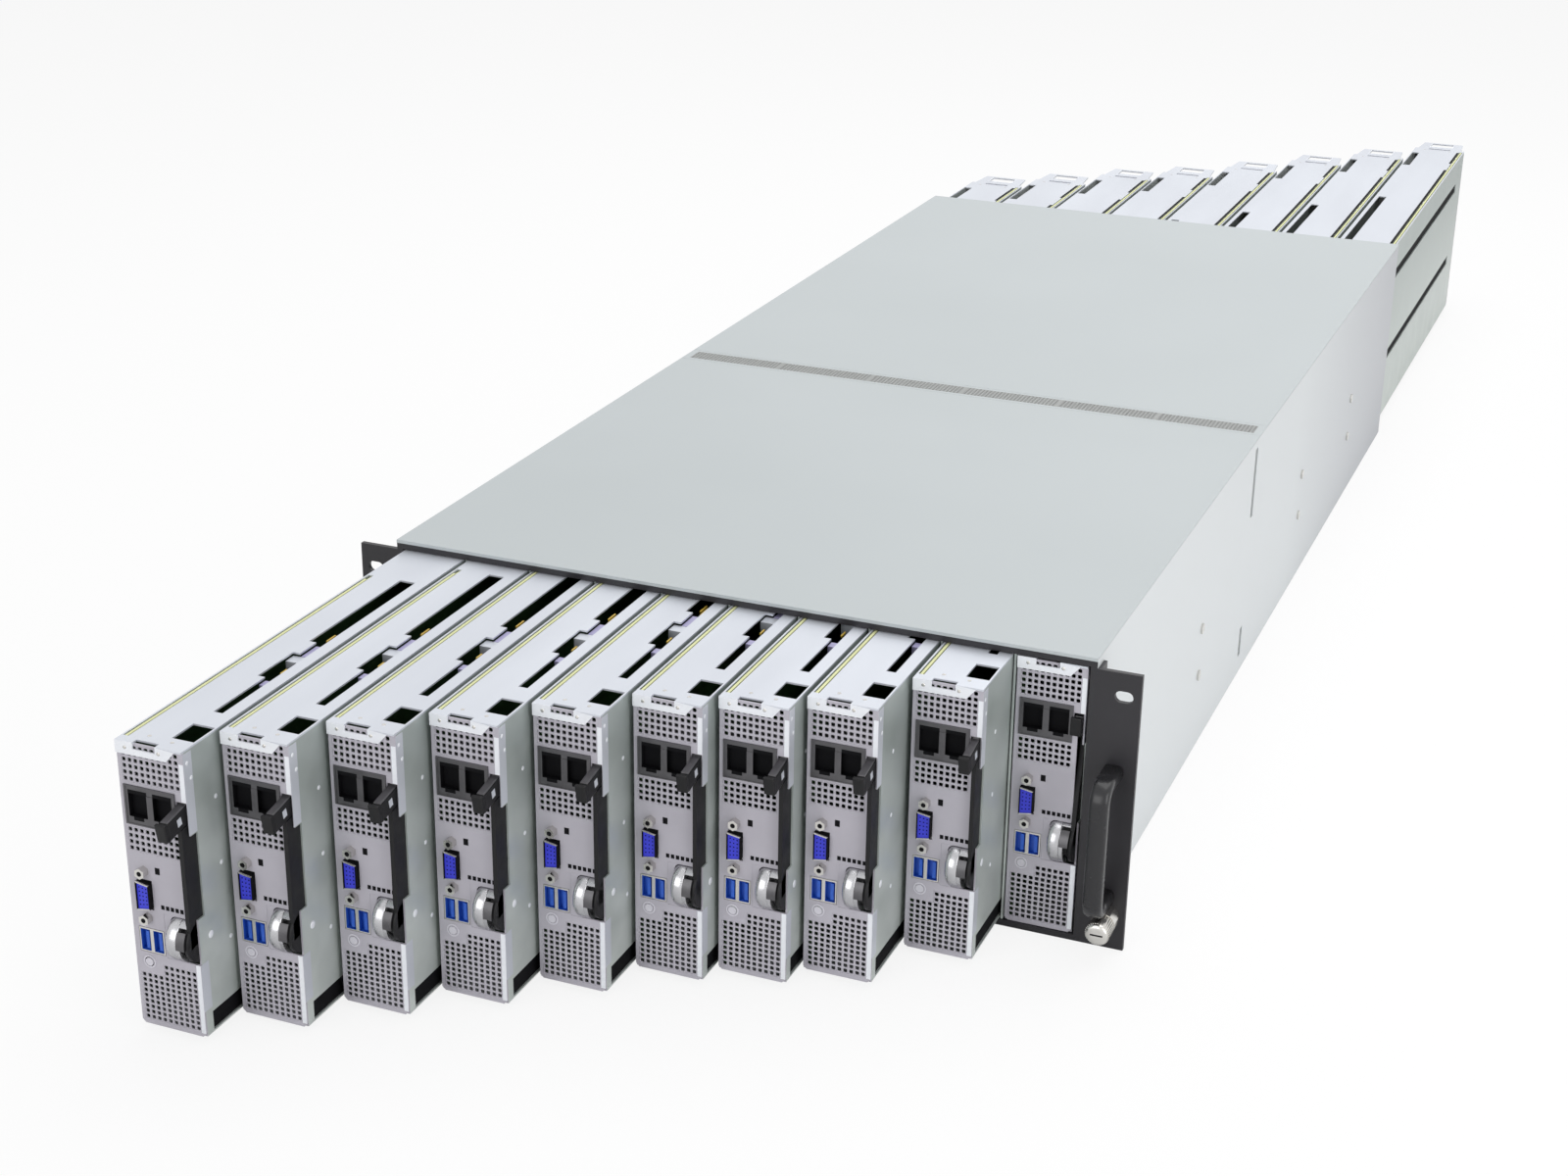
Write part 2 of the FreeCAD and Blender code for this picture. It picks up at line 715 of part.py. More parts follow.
# The first front sled keeps its pieces and a loose button in nodes of their own, the others share one node each
front_body = [sled_tray(front_width, front_length, False), front_plate()]
front_board = sled_board(front_length)
front_shared = front_body + [sled_face(front_width, False)] + front_board + sled_ports(False)
for i in range(front_count):
    node = "front_sled_%02d" % (i + 1)
    angle = lever_open if front_pulled[i] > 0 else 0.0
    save(node + "_lever", place_front(sled_lever(front_width, angle), i))
    if i == 0:
        save(node, place_front(front_body, i))
        save(node + "_face_panel", place_front([sled_face(front_width, True)], i))
        save(node + "_mainboard", place_front(front_board, i))
        save(node + "_ports", place_front(sled_ports(True), i))
        save(node + "_power_button", place_front([sled_button()], i))
    else:
        save(node, place_front(front_shared, i))

rear_body = [sled_tray(rear_width, rear_length, True), rear_plate()]
rear_shared = rear_body + [sled_face(rear_width, False)] + sled_board(rear_length) + sled_ports(False)
for i in range(rear_count):
    node = "rear_sled_%02d" % (i + 1)
    angle = lever_open if rear_pulled[i] > 0 else 0.0
    save(node, place_rear(rear_shared, i))
    save(node + "_lever", place_rear(sled_lever(rear_width, angle), i))
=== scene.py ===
# %% [markdown]
# A multi-node rack server: a flat steel case with ten compute sleds pulled out at the front
# and eight at the rear. The solids come in as a fixed frame, and every piece made here sits on
# them in the same metres. The small shapes are drawn in millimetres in a sled's own place:
# u across from its left edge, v back from its face and z up.

# %% Load the frame
import bpy
import bmesh
import json
import math
import numpy as np
from mathutils import Matrix, Vector


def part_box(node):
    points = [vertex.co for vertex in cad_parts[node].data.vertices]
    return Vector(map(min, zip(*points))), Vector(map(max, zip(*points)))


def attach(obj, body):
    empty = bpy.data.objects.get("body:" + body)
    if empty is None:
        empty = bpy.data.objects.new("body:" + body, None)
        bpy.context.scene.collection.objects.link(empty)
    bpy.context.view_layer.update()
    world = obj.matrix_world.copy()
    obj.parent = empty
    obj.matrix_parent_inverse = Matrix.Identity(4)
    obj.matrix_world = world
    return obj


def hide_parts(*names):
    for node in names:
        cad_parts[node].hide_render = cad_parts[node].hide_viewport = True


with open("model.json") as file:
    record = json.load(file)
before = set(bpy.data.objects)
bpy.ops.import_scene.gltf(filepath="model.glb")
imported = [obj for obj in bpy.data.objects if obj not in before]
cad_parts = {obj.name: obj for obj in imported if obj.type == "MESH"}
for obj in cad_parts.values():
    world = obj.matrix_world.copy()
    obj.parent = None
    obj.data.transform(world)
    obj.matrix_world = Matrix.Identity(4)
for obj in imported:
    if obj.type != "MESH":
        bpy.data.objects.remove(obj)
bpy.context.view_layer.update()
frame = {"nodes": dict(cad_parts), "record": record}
MM = 0.001

# %% [markdown]
# The camera stands in front, to the right and above. Its place was fitted to the long edges of
# the case, so it needs no shift: a position, two angles and a small roll are enough, and the
# matrix is written from its three axes.

# %% Camera
SENSOR_MM = 36.0
FOCAL_PIXELS = 2504.25
PICTURE_PIXELS = 1600.0
EYE = (0.509518, -1.186097, 0.705400)
AZIMUTH = math.radians(21.9093)
HEIGHT_ANGLE = math.radians(22.2028)
ROLL = math.radians(0.8599)
back = Vector((math.sin(AZIMUTH) * math.cos(HEIGHT_ANGLE),
               -math.cos(AZIMUTH) * math.cos(HEIGHT_ANGLE), math.sin(HEIGHT_ANGLE)))
level = Vector((math.cos(AZIMUTH), math.sin(AZIMUTH), 0.0))
upward = back.cross(level)
side_axis = math.cos(ROLL) * level + math.sin(ROLL) * upward
top_axis = math.cos(ROLL) * upward - math.sin(ROLL) * level
lens = bpy.data.cameras.new("photo_camera")
lens.sensor_width = SENSOR_MM
lens.lens = SENSOR_MM * FOCAL_PIXELS / PICTURE_PIXELS
lens.clip_end = 60.0
camera = bpy.data.objects.new("photo_camera", lens)
camera.matrix_world = Matrix((
    (side_axis.x, top_axis.x, back.x, EYE[0]),
    (side_axis.y, top_axis.y, back.y, EYE[1]),
    (side_axis.z, top_axis.z, back.z, EYE[2]),
    (0.0, 0.0, 0.0, 1.0)))
bpy.context.scene.collection.objects.link(camera)
bpy.context.scene.camera = camera
print("camera lens", round(lens.lens, 2), "mm")

# %% [markdown]
# Every finish is a small node tree. One function adds a node, sets its values and links its
# inputs, one adds a sum of two inputs, and one turns a written colour into the linear light that
# Blender works in.


# %% Colour and node helpers
def linear(code):
    parts = [int(code[i:i + 2], 16) / 255.0 for i in (1, 3, 5)]
    return tuple(c / 12.92 if c <= 0.04045 else ((c + 0.055) / 1.055) ** 2.4 for c in parts) + (1.0,)


def add_node(tree, kind, settings=None, links=None, values=None):
    node = tree.nodes.new(kind)
    for name, value in (settings or {}).items():
        setattr(node, name, value)
    for key, value in (values or {}).items():
        node.inputs[key].default_value = value
    for key, socket in (links or {}).items():
        tree.links.new(socket, node.inputs[key])
    return node


# A sum of two inputs, each a number or another node's output
def calc(tree, operation, one, two):
    node = add_node(tree, "ShaderNodeMath", {"operation": operation})
    for place, given in enumerate((one, two)):
        if isinstance(given, float):
            node.inputs[place].default_value = given
        else:
            tree.links.new(given, node.inputs[place])
    return node.outputs[0]


WHITE = (1.0, 1.0, 1.0, 1.0)
print("node helpers ready")

# %% [markdown]
# Sheet steel, paint, plastic and plated metal all vary a little over their surface. A broad
# noise moves the colour between two close tones and the gloss between two values, and a fine
# one lifts the surface as its grain. Grain sizes are real ones in millimetres, drawn no finer
# than about half a millimetre because smaller grain can't show at this distance. A fade moves
# the colour to another one along an axis: its values are the axis, two places in millimetres,
# how far the colour goes, and the colour.


# %% One builder for a grained finish
def finish(name, tones, rough, grain_mm, patch_mm, lift_mm, metallic=0.0,
           stretch=(1.0, 1.0, 1.0), coat=0.0, fade=None, shine=0.5):
    material = bpy.data.materials.new(name)
    material.use_nodes = True
    tree = material.node_tree
    tree.nodes.clear()
    place = add_node(tree, "ShaderNodeTexCoord")
    turned = add_node(tree, "ShaderNodeMapping", links={"Vector": place.outputs["Object"]},
                      values={"Scale": stretch})
    patch = add_node(tree, "ShaderNodeTexNoise", links={"Vector": turned.outputs["Vector"]},
                     values={"Scale": 1000.0 / patch_mm, "Detail": 3.0, "Roughness": 0.55})
    grain = add_node(tree, "ShaderNodeTexNoise", links={"Vector": turned.outputs["Vector"]},
                     values={"Scale": 1000.0 / grain_mm, "Detail": 2.0, "Roughness": 0.5})
    tone = add_node(tree, "ShaderNodeMix", {"data_type": "RGBA"}, {"Factor": patch.outputs["Fac"]})
    tone.inputs[6].default_value = linear(tones[0])
    tone.inputs[7].default_value = linear(tones[1])
    colour = tone.outputs[2]
    # A fade here is painted shade: it darkens the colour along one axis in place of light from the
    # surroundings
    if fade:
        axis, start_mm, end_mm, amount, far_colour = fade
        split = add_node(tree, "ShaderNodeSeparateXYZ", links={0: place.outputs["Object"]})
        rise = add_node(tree, "ShaderNodeMapRange", links={"Value": split.outputs[axis]},
                        values={"From Min": start_mm * MM, "From Max": end_mm * MM, "To Max": amount})
        shade = add_node(tree, "ShaderNodeMix", {"data_type": "RGBA"},
                         {"Factor": rise.outputs["Result"], 6: colour})
        shade.inputs[7].default_value = linear(far_colour)
        colour = shade.outputs[2]
    gloss = add_node(tree, "ShaderNodeMapRange", links={"Value": patch.outputs["Fac"]},
                     values={"From Min": 0.3, "From Max": 0.7, "To Min": rough[0], "To Max": rough[1]})
    bump = add_node(tree, "ShaderNodeBump", links={"Height": grain.outputs["Fac"]},
                    values={"Strength": 1.0, "Distance": lift_mm * MM})
    shader = add_node(tree, "ShaderNodeBsdfPrincipled",
                      links={"Base Color": colour, "Roughness": gloss.outputs["Result"],
                             "Normal": bump.outputs["Normal"]},
                      values={"Metallic": metallic, "Coat Weight": coat, "Specular IOR Level": shine})
    add_node(tree, "ShaderNodeOutputMaterial", links={"Surface": shader.outputs["BSDF"]})
    return material


print("finish builder ready")

# %% [markdown]
# The case has few finishes: two greys of powder coat, charcoal paint, nickel and black nylon. The
# sleds have more, because plated steel, paint, boards, plastic and cast metal meet on each face.

# %% Finishes of the case
# Powder coat over steel: pale grey, darkened toward the rear by painted shade that stands in for the dark
# surroundings seen in the coat, with a fine orange peel in reflections
case_paint_rear_shade = finish("powder_coated_steel_rear_shade", ("#D0D4D6", "#DADEE0"), (0.42, 0.5), 1.2, 160.0, 0.02,
                    fade=(1, 560.0, 985.0, 0.45, "#92919C"))
# The covers: the same powder coat painted a shade darker grey as painted shade, which keeps the roof darker
# than the sides
shaded_cover_paint = finish("powder_coated_cover_painted_shade", ("#B0B7B9", "#BBC1C3"), (0.4, 0.48), 1.2, 200.0, 0.02)
# Stoved charcoal paint on the ears and mouth frames: nearly black, half matt
dark_paint = finish("charcoal_paint", ("#252427", "#2F2E32"), (0.38, 0.48), 1.0, 40.0, 0.02, shine=0.4)
# Bright nickel plate on screws and studs: a sharp, slightly warm mirror
nickel_plate = finish("nickel_plate", ("#C9C7C2", "#DEDCD8"), (0.16, 0.26), 1.0, 8.0, 0.005, metallic=1.0)
# Moulded handle in glossy black nylon: broad soft highlights
handle_nylon = finish("moulded_black_nylon", ("#1E1E20", "#28282B"), (0.24, 0.32), 1.5, 30.0, 0.01,
                      coat=0.1, shine=0.4)
print("case finishes ready")

# %% Finishes of the sleds
# Zinc-plated steel of the trays: mottled grey with a green cast, darkened toward the top by painted shade
# that stands in for the white floor reflected low on the walls
zinc_plate = finish("zinc_plated_steel_top_shade", ("#AEB7B3", "#DDE2DF"), (0.34, 0.5), 1.4, 30.0, 0.006,
                    metallic=0.4, fade=(2, 20.0, 150.0, 0.5, "#84908E"))
# Top plates: the same steel, cleaner and brighter, with a faint blue cast
bright_zinc = finish("bright_zinc_plate", ("#C6CAD3", "#D6DAE1"), (0.36, 0.46), 1.2, 40.0, 0.005,
                     metallic=0.4, stretch=(1.0, 0.2, 1.0))
# Folded lips, flanges, wall dimples and the pull loop's rim: the steel painted nearly white all over as a
# painted highlight on its bends
lip_highlight_steel = finish("zinc_fold_painted_highlight", ("#E0E3EA", "#EEF0F4"), (0.4, 0.5), 1.2, 30.0, 0.004, metallic=0.1)
# Face panels: satin lavender grey paint with a dusty grain
face_paint = finish("satin_grey_paint", ("#A9A6AF", "#B9B6BF"), (0.44, 0.54), 0.8, 22.0, 0.01)
# Solder mask on the boards: deep green, half gloss
solder_mask = finish("solder_mask", ("#2E4A2A", "#3B5B33"), (0.35, 0.45), 2.0, 12.0, 0.01)
# Cut edge of the boards: bare glass and resin, pale yellow green
board_edge = finish("board_edge", ("#D2D59A", "#E4E6B4"), (0.55, 0.65), 0.8, 9.0, 0.02)
# Moulded black plastic of backplane sockets, lever arms and grips: matt, barely grained
black_plastic = finish("moulded_black_plastic", ("#0D0D0F", "#161618"), (0.42, 0.55), 0.8, 10.0, 0.015,
                       shine=0.3)
# Insides of holes, slits and sockets: near-black and dead matt, the black plastic of the sockets and painted
# shade in the holes and slits
dark_recess = finish("dark_recess", ("#0B0B0D", "#121215"), (0.7, 0.8), 1.0, 10.0, 0.01, shine=0.1)
# Stamped tin shield round the jacks and dull parts of the levers: grey metal
tin_shield = finish("tin_shield", ("#525153", "#6A696C"), (0.35, 0.45), 1.0, 8.0, 0.008, metallic=0.8)
# Blue plug insert of the display socket: bright moulded plastic
display_blue = finish("display_socket_blue", ("#2A2FC4", "#3A41DC"), (0.35, 0.45), 0.8, 6.0, 0.01)
# Blue tongue of the serial ports: a paler, cooler blue
port_blue = finish("port_tongue_blue", ("#1B4BB0", "#2B66D2"), (0.35, 0.45), 0.8, 6.0, 0.01)
# Satin die cast metal of the lever's hub: soft silver, lightly tumbled
die_cast = finish("tumbled_die_cast", ("#B2B2B5", "#CECED1"), (0.2, 0.3), 1.0, 9.0, 0.012, metallic=0.9)
# Milky cap of the power button: a shade lighter than the panel round it
milky_cap = finish("milky_button", ("#C4C2CB", "#D4D2DA"), (0.35, 0.45), 0.8, 4.0, 0.008)
# Wire and tape seen in the slits of the top plates: waxy yellow
wire_yellow = finish("wire_yellow", ("#C9A63A", "#DDBE58"), (0.4, 0.5), 0.8, 6.0, 0.01)
# Bare steel of the punched strip in the roof: plain mid grey
strip_steel = finish("strip_steel", ("#8C8E8D", "#9D9F9E"), (0.4, 0.5), 1.0, 20.0, 0.006, metallic=0.2)
# Plug blocks in the slits of the top plates: pale lavender plastic
lavender_block = finish("lavender_plastic", ("#9E9ABF", "#B4B0D2"), (0.4, 0.5), 0.8, 8.0, 0.01)
print("sled finishes ready")

# %% [markdown]
# The part stands on a pale floor. What the camera and reflections see behind it is white, while
# the light that reaches the part stays at a plain level, so colours come out about as they are
# written.

# %% Floor and world
FLOOR_GAP = 0.0006
FLOOR_WHITE = 0.85
PART_LIGHT = 0.5
floor_mesh = bpy.data.meshes.new("floor")
floor_mesh.from_pydata([(-14, -10, 0), (14, -10, 0), (14, 18, 0), (-14, 18, 0)], [], [(0, 1, 2, 3)])
floor = bpy.data.objects.new("floor", floor_mesh)
floor.location.z = -FLOOR_GAP
bpy.context.scene.collection.objects.link(floor)
floor_paint = bpy.data.materials.new("pale_floor")
floor_paint.use_nodes = True
tree = floor_paint.node_tree
tree.nodes.clear()
path = add_node(tree, "ShaderNodeLightPath")
part_white = calc(tree, "MULTIPLY", path.outputs["Is Camera Ray"], FLOOR_WHITE)
matt = add_node(tree, "ShaderNodeBsdfDiffuse", values={"Color": linear("#F2F2F2")})
glow = add_node(tree, "ShaderNodeEmission", values={"Color": WHITE, "Strength": 1.0})
mixed = add_node(tree, "ShaderNodeMixShader",
                 links={0: part_white, 1: matt.outputs[0], 2: glow.outputs[0]})
add_node(tree, "ShaderNodeOutputMaterial", links={"Surface": mixed.outputs[0]})
floor_mesh.materials.append(floor_paint)

world = bpy.data.worlds.new("studio")
world.use_nodes = True
tree = world.node_tree
tree.nodes.clear()
path = add_node(tree, "ShaderNodeLightPath")
seen = calc(tree, "MAXIMUM", path.outputs["Is Camera Ray"], path.outputs["Is Glossy Ray"])
seen = calc(tree, "MAXIMUM", seen, path.outputs["Is Transmission Ray"])
level_of_light = add_node(tree, "ShaderNodeMapRange", links={"Value": seen},
                          values={"To Min": PART_LIGHT, "To Max": 1.0})
sky = add_node(tree, "ShaderNodeBackground", links={"Strength": level_of_light.outputs["Result"]},
               values={"Color": WHITE})
add_node(tree, "ShaderNodeOutputWorld", links={"Surface": sky.outputs[0]})
bpy.context.scene.world = world
bpy.context.scene.view_settings.view_transform = "Standard"
print("floor and world ready")

# %% [markdown]
# One large soft light hangs overhead, with weaker ones in front, at the right and over the rear,
# where the roof turns paler.


# %% Lights
def soft_light(name, place, aim, size, power):
    lamp = bpy.data.lights.new(name, "AREA")
    lamp.shape = "SQUARE"
    lamp.size = size
    lamp.energy = power
    lamp_object = bpy.data.objects.new(name, lamp)
    lamp_object.location = place
    lamp_object.rotation_euler = (Vector(place) - Vector(aim)).to_track_quat("Z", "Y").to_euler()
    bpy.context.scene.collection.objects.link(lamp_object)


soft_light("overhead", (0.3, 0.9, 2.6), (0.0, 0.5, 0.1), 2.6, 39.0)
soft_light("front_fill", (-0.6, -2.4, 1.0), (0.0, 0.0, 0.1), 1.6, 16.0)
soft_light("right_fill", (1.5, -0.7, 0.6), (0.1, 0.2, 0.1), 1.0, 8.5)
soft_light("rear_top", (0.1, 1.5, 1.3), (0.0, 0.95, 0.17), 1.0, 3.5)
print("lights ready")

# %% [markdown]
# Pieces are drawn in a bmesh in millimetres, each face with the number of its finish. One helper
# stretches a skin over rows of points. It carries the others: a prism from an outline, a block, a
# band between two outlines and a turned shape. The last helper moves the drawing to its sled and
# hangs it there.


# %% Drawing helpers
def skin(work, rows, finish_number=0, smooth=False):
    faces = [work.faces.new(rows[0]), work.faces.new(rows[-1][::-1])]
    for one, two in zip(rows, rows[1:]):
        for i in range(len(one)):
            j = (i + 1) % len(one)
            faces.append(work.faces.new((one[i], two[i], two[j], one[j])))
    for face in faces:
        face.material_index = finish_number
        face.smooth = smooth and len(face.verts) == 4
    return faces


def prism(work, ring, along, finish_number=0):
    low = [work.verts.new(p) for p in ring]
    high = [work.verts.new(Vector(p) + Vector(along)) for p in ring]
    return skin(work, [low, high], finish_number)


def block(work, low, high, finish_number=0, bevel=0.0):
    ring = [(low[0], low[1], low[2]), (high[0], low[1], low[2]),
            (high[0], high[1], low[2]), (low[0], high[1], low[2])]
    faces = prism(work, ring, (0, 0, high[2] - low[2]), finish_number)
    if bevel:
        edges = list({e for f in faces for e in f.edges})
        bmesh.ops.bevel(work, geom=edges, offset=bevel, segments=2, profile=0.5, affect="EDGES",
                        material=finish_number)


# A closed frame between two outlines, whose sides take the finishes in turn
def band(work, outer, inner, along, finish_numbers):
    for i in range(len(outer)):
        j = (i + 1) % len(outer)
        prism(work, [outer[i], outer[j], inner[j], inner[i]], along, finish_numbers[i % len(finish_numbers)])


# A circle of points round an axis, 0 for x and 1 for y, through a middle point
def circle(middle, axis, radius, sides, start=0.0):
    points = []
    for k in range(sides):
        turn = start + 2.0 * math.pi * k / sides
        a, b = radius * math.cos(turn), radius * math.sin(turn)
        step = (0.0, a, b) if axis == 0 else (a, 0.0, b)
        points.append(tuple(m + s for m, s in zip(middle, step)))
    return points


# A turned shape: (distance along the axis, radius) pairs, closed at both ends
def turned(work, middle, axis, profile, sides, finish_number=0):
    rows = []
    for along, radius in profile:
        centre = list(middle)
        centre[axis] += along
        rows.append([work.verts.new(p) for p in circle(centre, axis, radius, sides)])
    skin(work, rows, finish_number, smooth=True)


def hang(name, work, materials, matrix, body):
    mesh = bpy.data.meshes.new(name)
    work.to_mesh(mesh)
    mesh.transform(matrix)
    for material in materials:
        mesh.materials.append(material)
    piece = bpy.data.objects.new(name, mesh)
    bpy.context.scene.collection.objects.link(piece)
    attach(piece, body)
    return piece


IN_MM = Matrix.Scale(MM, 4)
print("drawing helpers ready")

# %% [markdown]
# Each sled gets a matrix from its own millimetres to the row's metres. The front sleds face the
# viewer, and the rear ones are the same turned half round, so left stays left on each face. How
# far a sled stands out is the way its slide can go back in, so the record gives the face's place.

# %% Places of the sleds
FRONT_FACE = -0.002
REAR_FACE = 0.986
slides = {j["child"]: j for j in frame["record"]["behaviour"]["joints"] if j["name"].endswith("_slide")}
sleds = []
for name in sorted(slides):
    low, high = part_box(name)
    pulled = -slides[name]["range_m"][0]
    front = name.startswith("front")
    if front:
        origin = Vector((low.x, FRONT_FACE - pulled, 0.0))
        turn = Matrix.Identity(4)
    else:
        origin = Vector((high.x, REAR_FACE + pulled, 0.0))
        turn = Matrix.Rotation(math.pi, 4, "Z")
    place = Matrix.Translation(origin) @ turn @ IN_MM
    sleds.append({"name": name, "front": front, "place": place, "pulled": pulled,
                  "width": (high.x - low.x) / MM})
# The first sled of each row gives the row's width
row_width = {s["front"]: s["width"] for s in reversed(sleds)}
print(len(sleds), "sleds, widths", sorted({round(s["width"], 2) for s in sleds}))

# %% [markdown]
# The frame's own solids stay where their shape is right. A sled's solids share one node, so its
# triangles are sorted by where they lie: the box that holds all three corners of a triangle
# tells which solid it belongs to, and that decides its finish. A later box goes over an earlier one.


# %% Finishes on the frame's solids
def corners_of(node, matrix):
    mesh = frame["nodes"][node].data
    points = np.empty(len(mesh.vertices) * 3, np.float32)
    mesh.vertices.foreach_get("co", points)
    points = points.reshape(-1, 3)
    back_to_sled = np.array(matrix.inverted())
    points = points @ back_to_sled[:3, :3].T + back_to_sled[:3, 3]
    index = np.array([tuple(p.vertices) for p in mesh.polygons])
    return points[index]


def dress(node, materials, rules=(), matrix=None):
    mesh = frame["nodes"][node].data
    mesh.materials.clear()
    for material in materials:
        mesh.materials.append(material)
    numbers = np.zeros(len(mesh.polygons), np.int32)
    if rules:
        corners = corners_of(node, matrix)
        for material, low, high in rules:
            above = corners > np.array(low) - NEAR
            below = corners < np.array(high) + NEAR
            numbers[np.all(above & below, axis=(1, 2))] = materials.index(material)
    mesh.polygons.foreach_set("material_index", numbers)
    mesh.update()


NEAR = 0.05
FAR = 900.0
SCREW_ACROSS = 231.8
SCREW_HEIGHT = 21.0
sled_finishes = [zinc_plate, bright_zinc, face_paint, solder_mask, board_edge, tin_shield,
                 dark_recess, nickel_plate, display_blue, milky_cap, port_blue, lip_highlight_steel]
for sled in sleds:
    width = sled["width"]
    rules = [
        # Top plate, its lip in painted highlight and the pull loop of the rear sleds
        (bright_zinc, (0, -1.2, 167.5), (width, FAR, 168.5)),
        (lip_highlight_steel, (0, -1.2, 161.5), (width, -0.2, 168.5)),
        (bright_zinc, (0, -31.2, 167.5), (width, -1.2, 168.5)),
        # Face panel and power button
        (face_paint, (0, -0.01, 4.0), (width, 1.2, 167.5)),
        (milky_cap, (5.6, -0.6, 39.6), (10.8, -0.05, 44.8)),
        # Mainboard and its upper edge
        (solder_mask, (1.8, 3.0, 5.2), (3.4, FAR, 167.3)),
        (board_edge, (1.8, 3.0, 167.15), (3.4, FAR, 167.3)),
        # Network jacks and their two wells
        (tin_shield, (3.4, -0.5, 122.4), (32.0, 24.0, 143.2)),
        (dark_recess, (4.7, -0.55, 126.3), (16.95, 3.1, 139.3)),
        (dark_recess, (18.45, -0.55, 126.3), (30.7, 3.1, 139.3)),
        # Display socket, the sides of its insert in painted shade, and the insert's face
        (nickel_plate, (3.4, 1.5, 66.5), (15.8, 14.0, 97.5)),
        (dark_recess, (5.6, -2.4, 73.7), (13.6, 1.5, 90.3)),
        (display_blue, (5.6, -2.4, 73.7), (13.6, -2.4, 90.3)),
        # Serial ports and their two wells
        (nickel_plate, (3.4, 0.0, 48.0), (18.4, 14.0, 62.0)),
        (port_blue, (4.1, -0.05, 48.7), (9.9, 3.5, 61.1)),
        (port_blue, (11.9, -0.05, 48.7), (17.7, 3.5, 61.1)),
    ]
    for node in frame["record"]["behaviour"]["bodies"][sled["name"]]:
        dress(node, sled_finishes, rules, sled["place"])
plain_nodes = {
    "front_cover": shaded_cover_paint, "rear_cover": shaded_cover_paint, "vent_strip": shaded_cover_paint,
    "front_frame": dark_paint, "rear_frame": dark_paint,
    "front_bay_guides": zinc_plate, "rear_bay_guides": zinc_plate,
    "front_backplane": solder_mask, "rear_backplane": solder_mask,
    "backplane_sockets": black_plastic, "rail_studs": nickel_plate,
    "front_sled_01_power_button": milky_cap}
for node, material in plain_nodes.items():
    dress(node, [material])
mouth_edge = [(dark_paint, (-217.0, -3.0, -1.0), (217.0, -3.0, 175.0))]
dress("chassis_tray", [case_paint_rear_shade, dark_paint], mouth_edge, IN_MM)
collars = [(nickel_plate, (s * SCREW_ACROSS - 7, -15.0, 14.0), (s * SCREW_ACROSS + 7, -2.95, 28.0))
           for s in (-1, 1)]
dress("rack_ears", [dark_paint, nickel_plate], collars, IN_MM)
print("frame dressed")

# %% [markdown]
# What repeats comes from Geometry Nodes. Two helpers start and end a tree, and one runs it as a
# modifier on an empty mesh and keeps the result as plain faces.


# %% Helpers for node trees
# A new tree with whole numbers, lengths and one finish as inputs, and the input node's outputs
def new_tree(name, counts, lengths):
    tree = bpy.data.node_groups.new(name, "GeometryNodeTree")
    kinds = [(label, "Int") for label in counts] + [(label, "Float") for label in lengths]
    for label, kind in kinds + [("Finish", "Material")]:
        tree.interface.new_socket(label, in_out="INPUT", socket_type="NodeSocket" + kind)
    tree.interface.new_socket("Geometry", in_out="OUTPUT", socket_type="NodeSocketGeometry")
    return tree, add_node(tree, "NodeGroupInput").outputs


# Ends a tree: the geometry becomes real faces in the given finish
def end_tree(tree, geometry, given):
    whole = add_node(tree, "GeometryNodeRealizeInstances", links={0: geometry})
    painted = add_node(tree, "GeometryNodeSetMaterial",
                       links={0: whole.outputs[0], "Material": given["Finish"]})
    add_node(tree, "NodeGroupOutput", links={0: painted.outputs[0]})
    return tree


def vector_node(tree, operation, one, key, two):
    node = add_node(tree, "ShaderNodeVectorMath", {"operation": operation}, {0: one, key: two})
    return node.outputs[0]


# Runs a tree on an empty mesh and returns a plain mesh whose faces take the first finish of a piece
def baked(tree, values):
    holder_mesh = bpy.data.meshes.new("holder")
    holder = bpy.data.objects.new("holder", holder_mesh)
    bpy.context.scene.collection.objects.link(holder)
    modifier = holder.modifiers.new("nodes", "NODES")
    modifier.node_group = tree
    for item in tree.interface.items_tree:
        if item.in_out == "INPUT" and item.name in values:
            modifier[item.identifier] = values[item.name]
    graph = bpy.context.evaluated_depsgraph_get()
    mesh = bpy.data.meshes.new_from_object(holder.evaluated_get(graph), depsgraph=graph)
    holder.modifiers.clear()
    bpy.data.objects.remove(holder)
    mesh.polygons.foreach_set("material_index", [0] * len(mesh.polygons))
    return mesh


print("tree helpers ready")

# %% [markdown]
# The vents are punched sheet: thousands of small square holes with soft corners. Cutting each
# one with a boolean would be slow, so Geometry Nodes makes one cell, a ring of eight faces
# between the hole and a square border, sets it on a grid of points and thickens the sheet.

# %% Punched sheet in Geometry Nodes
CORNER = 0.6
JOIN = 0.00001
SHEET = 1.2


